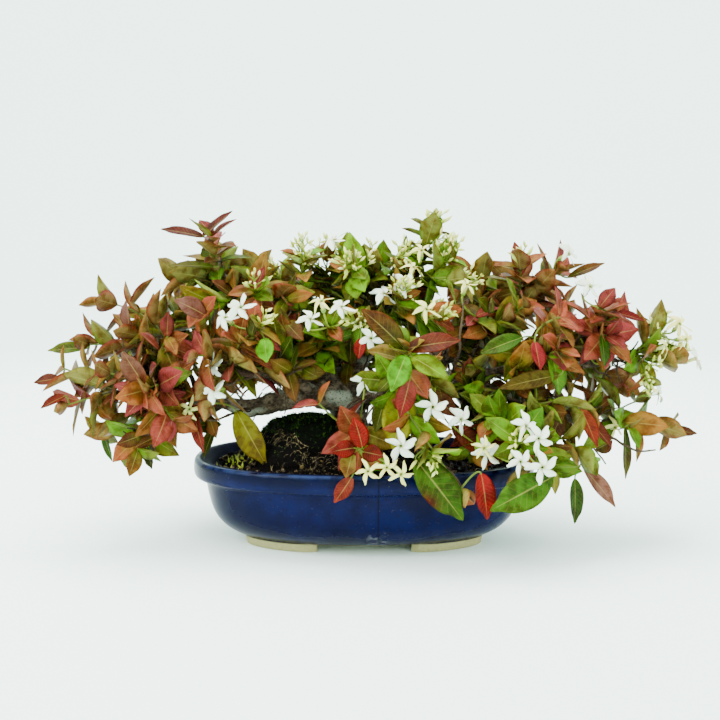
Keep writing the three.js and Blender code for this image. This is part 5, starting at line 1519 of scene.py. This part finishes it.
def petal_shape(bloom, turn, narrow, curl, rng):
    """A petal on a grid, both faces, closed round its rim. It widens to two thirds of its run, ends in a
    round tip, and has its own reach, roll and wave."""
    u, v = np.meshgrid(1 - 0.94 * np.linspace(1, 0, PETAL_ROWS) ** 1.25, np.linspace(-1, 1, PETAL_COLUMNS),
                       indexing="ij")
    u, v = u[..., None], v[..., None]
    widening = 0.3 + 0.7 * np.sin(np.pi / 2 * np.minimum(1, u / 0.68))
    half = narrow * PETAL_HALF_WIDTH * widening * np.sqrt(1 - np.clip((u - 0.66) / 0.345, 0, 1) ** 3)
    top = petal_points(bloom, turn, u * rng.uniform(0.86, 1.02), v, half, rng.uniform(0.25, 0.75))
    wave = rng.uniform(0.2, 0.6) * np.cos(rng.uniform(5, 8) * u + rng.uniform(0, 3)) * v ** 2
    top = top - bloom["facing"] * (curl * PETAL_LENGTH * u ** 3 + wave)
    under = top - bloom["facing"] * 0.25 * (1 - v ** 4)
    green = np.exp(-(u / 0.16) ** 2) * np.ones_like(v)
    tint = mixed(bloom["petal"], tone(PETAL_THROAT), green)
    return thin_sheets({"points": (top[None], under[None]), "tint": (tint[None], tint[None] * 0.93)})


def lathed(origin, axis, outline, colours, sides=14):
    """A turned shape: rings of each radius and height of an outline round an axis."""
    first, second = square_to(axis)
    turn = round_turns(sides)[:, None]
    ring = np.cos(turn) * first + np.sin(turn) * second
    outline = np.asarray(outline, float)
    rings = origin + axis * outline[:, 1, None, None] + ring[None] * outline[:, 0, None, None]
    shape = closed_rings(rings[None])
    shape["tint"] = ring_tint(tones(colours), sides)
    return shape


def turned(bloom, profile):
    """A turned part of a flower from its radii, heights and colours."""
    return lathed(bloom["throat"], bloom["facing"], [row[:2] for row in profile], [row[2] for row in profile])


def bloom_shapes(bloom, rng):
    """A whole flower: five petals, the tube with its throat, and the calyx."""
    faded = bloom["old"]
    bloom["petal"] = tone(FADED_PETAL if faded else FRESH_PETAL)
    narrow = rng.uniform(0.6, 0.8) if faded else rng.uniform(0.95, 1.15)
    bend_back = rng.uniform(-0.06, 0.16) + 0.15 * faded
    petals = [petal_shape(bloom, bloom["spin"] + k * 2 * np.pi / PETALS + rng.normal(0, 0.07), narrow,
                          bend_back + rng.normal(0, 0.06), rng) for k in range(PETALS)]
    return [*petals, turned(bloom, TUBE), turned(bloom, CALYX)]


def petal_skin():
    """Soft waxy petal in its own tint, a little duller in fine patches."""
    material, tree, shader, place = new_material("petal_skin", Roughness=0.5, Subsurface_Weight=0.25,
                                                 Subsurface_Scale=0.002)
    tint, grain = painted_tint(tree), noise(tree, place, 900, 2)
    dull = blended(tree, 1.0, tint, shade("dfe0c4"), "MULTIPLY")
    link(tree, shader, Base_Color=blended(tree, both(tree, grain, 0.25), tint, dull),
         Normal=bumped(tree, grain, 0.0002, 0.4))
    return material


def bloom_stalk(bloom, choice):
    """A flower's stalk, from one of the nearest stems to its calyx."""
    shoot, share = nearest_stems(bloom["throat"] - bloom["facing"] * TUBE_LENGTH, bloom["facing"])[choice]
    end = bloom["throat"] - bloom["facing"] * CALYX_DROP
    return stalk_shape(shoot["point"](share), end, bloom["facing"], (0.5, 0.6), STEM_SHADES["fresh"])


def rim_points(bloom):
    """The four corners of the CAD flower's first petal."""
    rims = [petal_points(bloom, bloom["spin"], along, across) for along, across in PETAL_RIM]
    return [rim + bloom["facing"] * half for rim in rims for half in (SOLID_HALF, -SOLID_HALF)]


def bud_line(shoot, k, count, attempt):
    """The root, the lean and the reach of a bud's stalk at the tip of a shoot."""
    draw = draws(shoot_seed(shoot) + 503 * k + 11 * attempt + 3)
    along = shoot["direction"](1)
    first, second = square_to(along)
    turn = k * 2 * np.pi / count + next(draw) * 1.2
    spread = first * np.cos(turn) + second * np.sin(turn)
    lean = unit(along + spread * (0.45 + 0.5 * next(draw)) + 0.3 * UP)
    return shoot["point"](leaf_share(shoot, shoot["pairs"] - 1)), lean, 4 + 4 * next(draw)


def bud_tip(line):
    """The three corners of the CAD bud's tip."""
    root, lean, reach = line
    first, second = square_to(lean)
    return [root + lean * (reach + BUD_LENGTH) + (first * np.cos(turn) + second * np.sin(turn)) * 0.3
            for turn in round_turns(3)]


def bud_shape(root, lean, reach, length, girth, colours):
    """A bud: a slim tube, then a spindle."""
    share = np.linspace(0, 1, 8)
    outline = np.stack([girth * (0.32 + 0.68 * np.sin(np.pi * np.clip(share * 1.25 - 0.25, 0, 1)) ** 0.8)
                        * (1 - 0.75 * np.clip(share * 3 - 2, 0, 1)), reach + length * share], axis=-1)
    shades = [colours[0] if s < 0.25 else colours[1] for s in share]
    return lathed(root, lean, outline, shades, 6)


def truss(root, lead, rng):
    """A loose head of small buds: pairs of thin branches up a stalk, each with one to three buds."""
    first, second = square_to(lead)
    height = rng.uniform(7, 13)
    stems.append(stalk_shape(root, root + lead * height, lead, (0.5, 0.4), STEM_SHADES["fresh"]))
    for level in range(4):
        for side in (0, 1):
            turn = level * 1.6 + side * np.pi + rng.normal(0, 0.3)
            out = first * np.cos(turn) + second * np.sin(turn)
            start = root + lead * height * (0.35 + 0.2 * level)
            aim = unit(out * (1.1 - 0.2 * level) + lead)
            end = start + aim * rng.uniform(2.5, 5.5)
            stems.append(stalk_shape(start, end, aim, (0.5, 0.34), STEM_SHADES["fresh"]))
            for _ in range(rng.integers(1, 4)):
                lean = unit(aim + rng.normal(0, 0.45, 3))
                size = rng.uniform(0.25, 0.62)
                colours = BUD_SHADES[rng.integers(0, 3)]
                buds.append(bud_shape(end, lean, -0.2, BUD_LENGTH * size, 0.35 + size, colours))


petal_finish = petal_skin()
rng = np.random.default_rng(61)
for number, spots in enumerate(BLOOMS):
    node = f"bloom_{number + 1:02d}"
    throats = [np.array(spots[i:i + 3], float) for i in range(0, len(spots), 3)]
    corners = node_corners(node)
    pair, _, attempt = best_try(
        BLOOM_TRIES,
        lambda attempt: [bloom_at(throat, number * 2 + k, attempt) for k, throat in enumerate(throats)],
        lambda blooms: sum(misfit(corners, rim_points(bloom)) for bloom in blooms))
    pair[0]["old"] = number in OLD_BLOOMS
    for bloom in pair:
        bloom["scale"] = rng.uniform(0.82, 0.98)
    shapes = [shape for bloom in pair for shape in bloom_shapes(bloom, rng)]
    finish_piece(new_mesh_object(f"flower_{number + 1:02d}", joined(shapes)), petal_finish, "petals", node)
    stems += [bloom_stalk(bloom, attempt % 3) for bloom in pair]

late_flowers = []
for number, spot in enumerate(FADED_BLOOMS):
    bloom = bloom_at(np.array(spot, float), 90 + number, 0) | {"old": True, "scale": 0.78}
    late_flowers += bloom_shapes(bloom, rng)
    stems.append(bloom_stalk(bloom, 0))
finish_piece(new_mesh_object("late_flowers", joined(late_flowers)), petal_finish, "petals")

buds = []
for shoot in shoots:
    for k in range(shoot["buds"]):
        root, lean, reach = best_try(BUD_TRIES, lambda attempt: bud_line(shoot, k, shoot["buds"], attempt),
                                     lambda one: misfit(spray_corners[shoot["name"]], bud_tip(one)))[0]
        buds.append(bud_shape(root, lean, reach, BUD_LENGTH, 1.15, BUD_SHADES[0]))
        stems.append(stalk_shape(root, root + lean * (reach + 0.5), lean, (0.5, 0.42), STEM_SHADES["fresh"]))
    for k in range(3 * (shoot["name"] in TRUSS_SPRAYS) + (shoot["buds"] > 0)):
        lead = unit(shoot["direction"](1) + 0.6 * UP + rng.normal(0, 0.3, 3) * k)
        truss(shoot["point"](1 - 0.1 * k), lead, rng)
finish_piece(new_mesh_object("flower_buds", joined(buds)), petal_finish, "petals")
finish_piece(new_mesh_object("shoots_and_stalks", joined(stems)), stem_skin, "leaves")


# Fine roots lie bare on the steep face of the mound, where water has washed the soil away, and hug it in
# small loops under the moss. Near the pot's left end a few yellow-green seedlings stand in the grit.
FINE_ROOTS = 1750
ROOT_SPREAD_MIDDLE, ROOT_SPREAD = (-26, -4), (46, 50)
ROOT_FRONT = -60.5
ROOT_SHADES = ["a89a7c", "2a2018", "1f1812", "33281d", "1a140e", "241b13"]
SEEDLINGS = 70


def mound_height(x, y):
    """The soil's height, or the moss cushion's where it is the higher."""
    long, short = (x - MOSS_CENTRE[0]) / MOSS_REACH[0], (y - MOSS_CENTRE[1]) / MOSS_REACH[1]
    turn = np.arctan2(short, long)
    reach = np.hypot(long, short) / moss_wave(turn)
    outline = np.array(MOSS_OUTLINE[:0:-1])
    cushion = np.where(reach < 1.3, np.interp(reach, outline[:, 0], outline[:, 1]), 0)
    return np.maximum(soil_height(x, y), cushion)


def soil_roots():
    """Roots over the front of the mound: short wavy strands in every direction, laid on its height."""
    rng = np.random.default_rng(71)
    share = np.linspace(0, 1, 10)[None]
    column = (FINE_ROOTS, 1)
    round_mound = rng.normal(-1.62, 0.72, column)
    reach = rng.uniform(0.66, 1.14, column) ** 0.8
    way = round_mound + rng.normal(0, 1.1, column)
    span = rng.uniform(3, 11, column)
    sway = rng.uniform(0.3, 1.7, column)
    sway = sway * np.sin(share * rng.uniform(3, 11, column) + rng.uniform(0, 6, column))
    x = ROOT_SPREAD_MIDDLE[0] + ROOT_SPREAD[0] * reach * np.cos(round_mound)
    y = ROOT_SPREAD_MIDDLE[1] + ROOT_SPREAD[1] * reach * np.sin(round_mound)
    x = x + span * share * np.cos(way) - sway * np.sin(way)
    y = np.maximum(y + 0.45 * (span * share * np.sin(way) + sway * np.cos(way)), ROOT_FRONT)
    loop = rng.uniform(0.1, 2.6, column) * np.sin(np.pi * share) ** 2
    path = np.stack([x, y, mound_height(x, y) + loop + 0.1], axis=-1)
    shape = tubes(path, rng.uniform(0.09, 0.2, column) * (1 - 0.4 * share), 3)
    picks = tones(ROOT_SHADES)[rng.integers(0, len(ROOT_SHADES), FINE_ROOTS)]
    shape["tint"] = each_point(picks * rng.uniform(0.6, 1.25, column), shape, FINE_ROOTS)
    return shape


def seedlings():
    """Small upright spikes in the grit near the left end of the pot."""
    rng = np.random.default_rng(73)
    x = rng.normal(-71, 7, SEEDLINGS)
    y = rng.normal(-19, 9, SEEDLINGS)
    spots = np.stack([x, y, soil_height(x, y) - 0.3], axis=-1)
    tips = spots + rng.normal(0, 1.3, (SEEDLINGS, 3)) + [0, 0, 3.2]
    shape = spikes(spots, tips, rng.uniform(0.4, 0.9, SEEDLINGS), np.zeros(3))
    shape["tint"] = each_point(tone("b9bf5a") * rng.uniform(0.6, 1.2, (SEEDLINGS, 1)), shape, SEEDLINGS)
    return shape


finish_piece(new_mesh_object("bare_roots", soil_roots()), crumbly("root_skin", 0.8, 1.6), "roots")
finish_piece(new_mesh_object("seedlings", seedlings()), stem_skin, "moss")


# The studio isn't part of the plant. A sheet of pale paper lies under the pot and sweeps up all round it,
# soft lights hang above, and the camera stands in front.
FLOOR_REACH, SWEEP_REACH, WALL_HEIGHT = 1500, 600, 1600
FLOOR_ROUND = 96
CAMERA_PLACE = (-2.5, -750, 185)
CAMERA_TILT = np.radians(5.67)
CAMERA_LENS = 61


def studio_floor():
    """A flat disc, a quarter round and a wall, all turned about the upright axis, open at the top."""
    bow = np.linspace(0, np.pi / 2, 16)
    sweep = np.stack([FLOOR_REACH + SWEEP_REACH * np.sin(bow), SWEEP_REACH * (1 - np.cos(bow))], axis=-1)
    outline = np.concatenate([[[1, 0], [FLOOR_REACH, 0]], sweep, [[FLOOR_REACH + SWEEP_REACH, WALL_HEIGHT]]])
    radius, height = outline[:, :1], outline[:, 1:]
    turn = round_turns(FLOOR_ROUND)[None]
    rings = np.stack([radius * np.cos(turn), radius * np.sin(turn), height + 0 * turn], axis=-1)
    faces = [grid_faces(len(outline), FLOOR_ROUND, closed=True)[:, ::-1], np.arange(FLOOR_ROUND)[None]]
    return new_mesh_object("floor", {"points": rings.reshape(-1, 3), "faces": faces})


def pale_floor():
    """Pale matt paper."""
    material, tree, shader, place = new_material("pale_floor", Roughness=0.9)
    link(tree, shader, Base_Color=blended(tree, noise(tree, place, 3, 2), shade("f4fffb"), shade("f8fffd")))
    return material


def soft_light(name, place, aim, size, power, colour):
    """A square soft light at a place in millimetres, turned to a point."""
    data = bpy.data.lights.new(name, "AREA")
    data.size, data.energy, data.color = size * MM, power, colour
    lamp = bpy.data.objects.new(name, data)
    lamp.location = placed(place)
    from_aim = lamp.location - Vector(np.array(aim) * MM + POT_MIDDLE)
    lamp.rotation_euler = from_aim.to_track_quat("Z", "Y").to_euler()
    bpy.context.scene.collection.objects.link(lamp)


floor = studio_floor()
floor.data.materials.append(pale_floor())
soft_light("overhead", (-100, 100, 1250), (0, 0, 80), 1100, 34, (1, 0.99, 0.97))
soft_light("window", (-900, -700, 900), (0, 0, 90), 700, 26, (1, 1, 1))
soft_light("fill", (900, -900, 500), (0, 0, 80), 800, 12, (0.97, 0.99, 1))
soft_light("backdrop", (0, 500, 1500), (0, 2100, 500), 1200, 42, (0.98, 1, 0.99))

world = bpy.data.worlds.new("pale_room")
world.use_nodes = True
world.node_tree.nodes["Background"].inputs["Color"].default_value = shade("f0f8f6")
world.node_tree.nodes["Background"].inputs["Strength"].default_value = 2.3
bpy.context.scene.world = world

camera = bpy.data.objects.new("camera", bpy.data.cameras.new("camera"))
camera.location = placed(CAMERA_PLACE)
camera.rotation_euler = (np.pi / 2 - CAMERA_TILT, 0, 0)
camera.data.lens = CAMERA_LENS
bpy.context.scene.collection.objects.link(camera)
bpy.context.scene.camera = camera
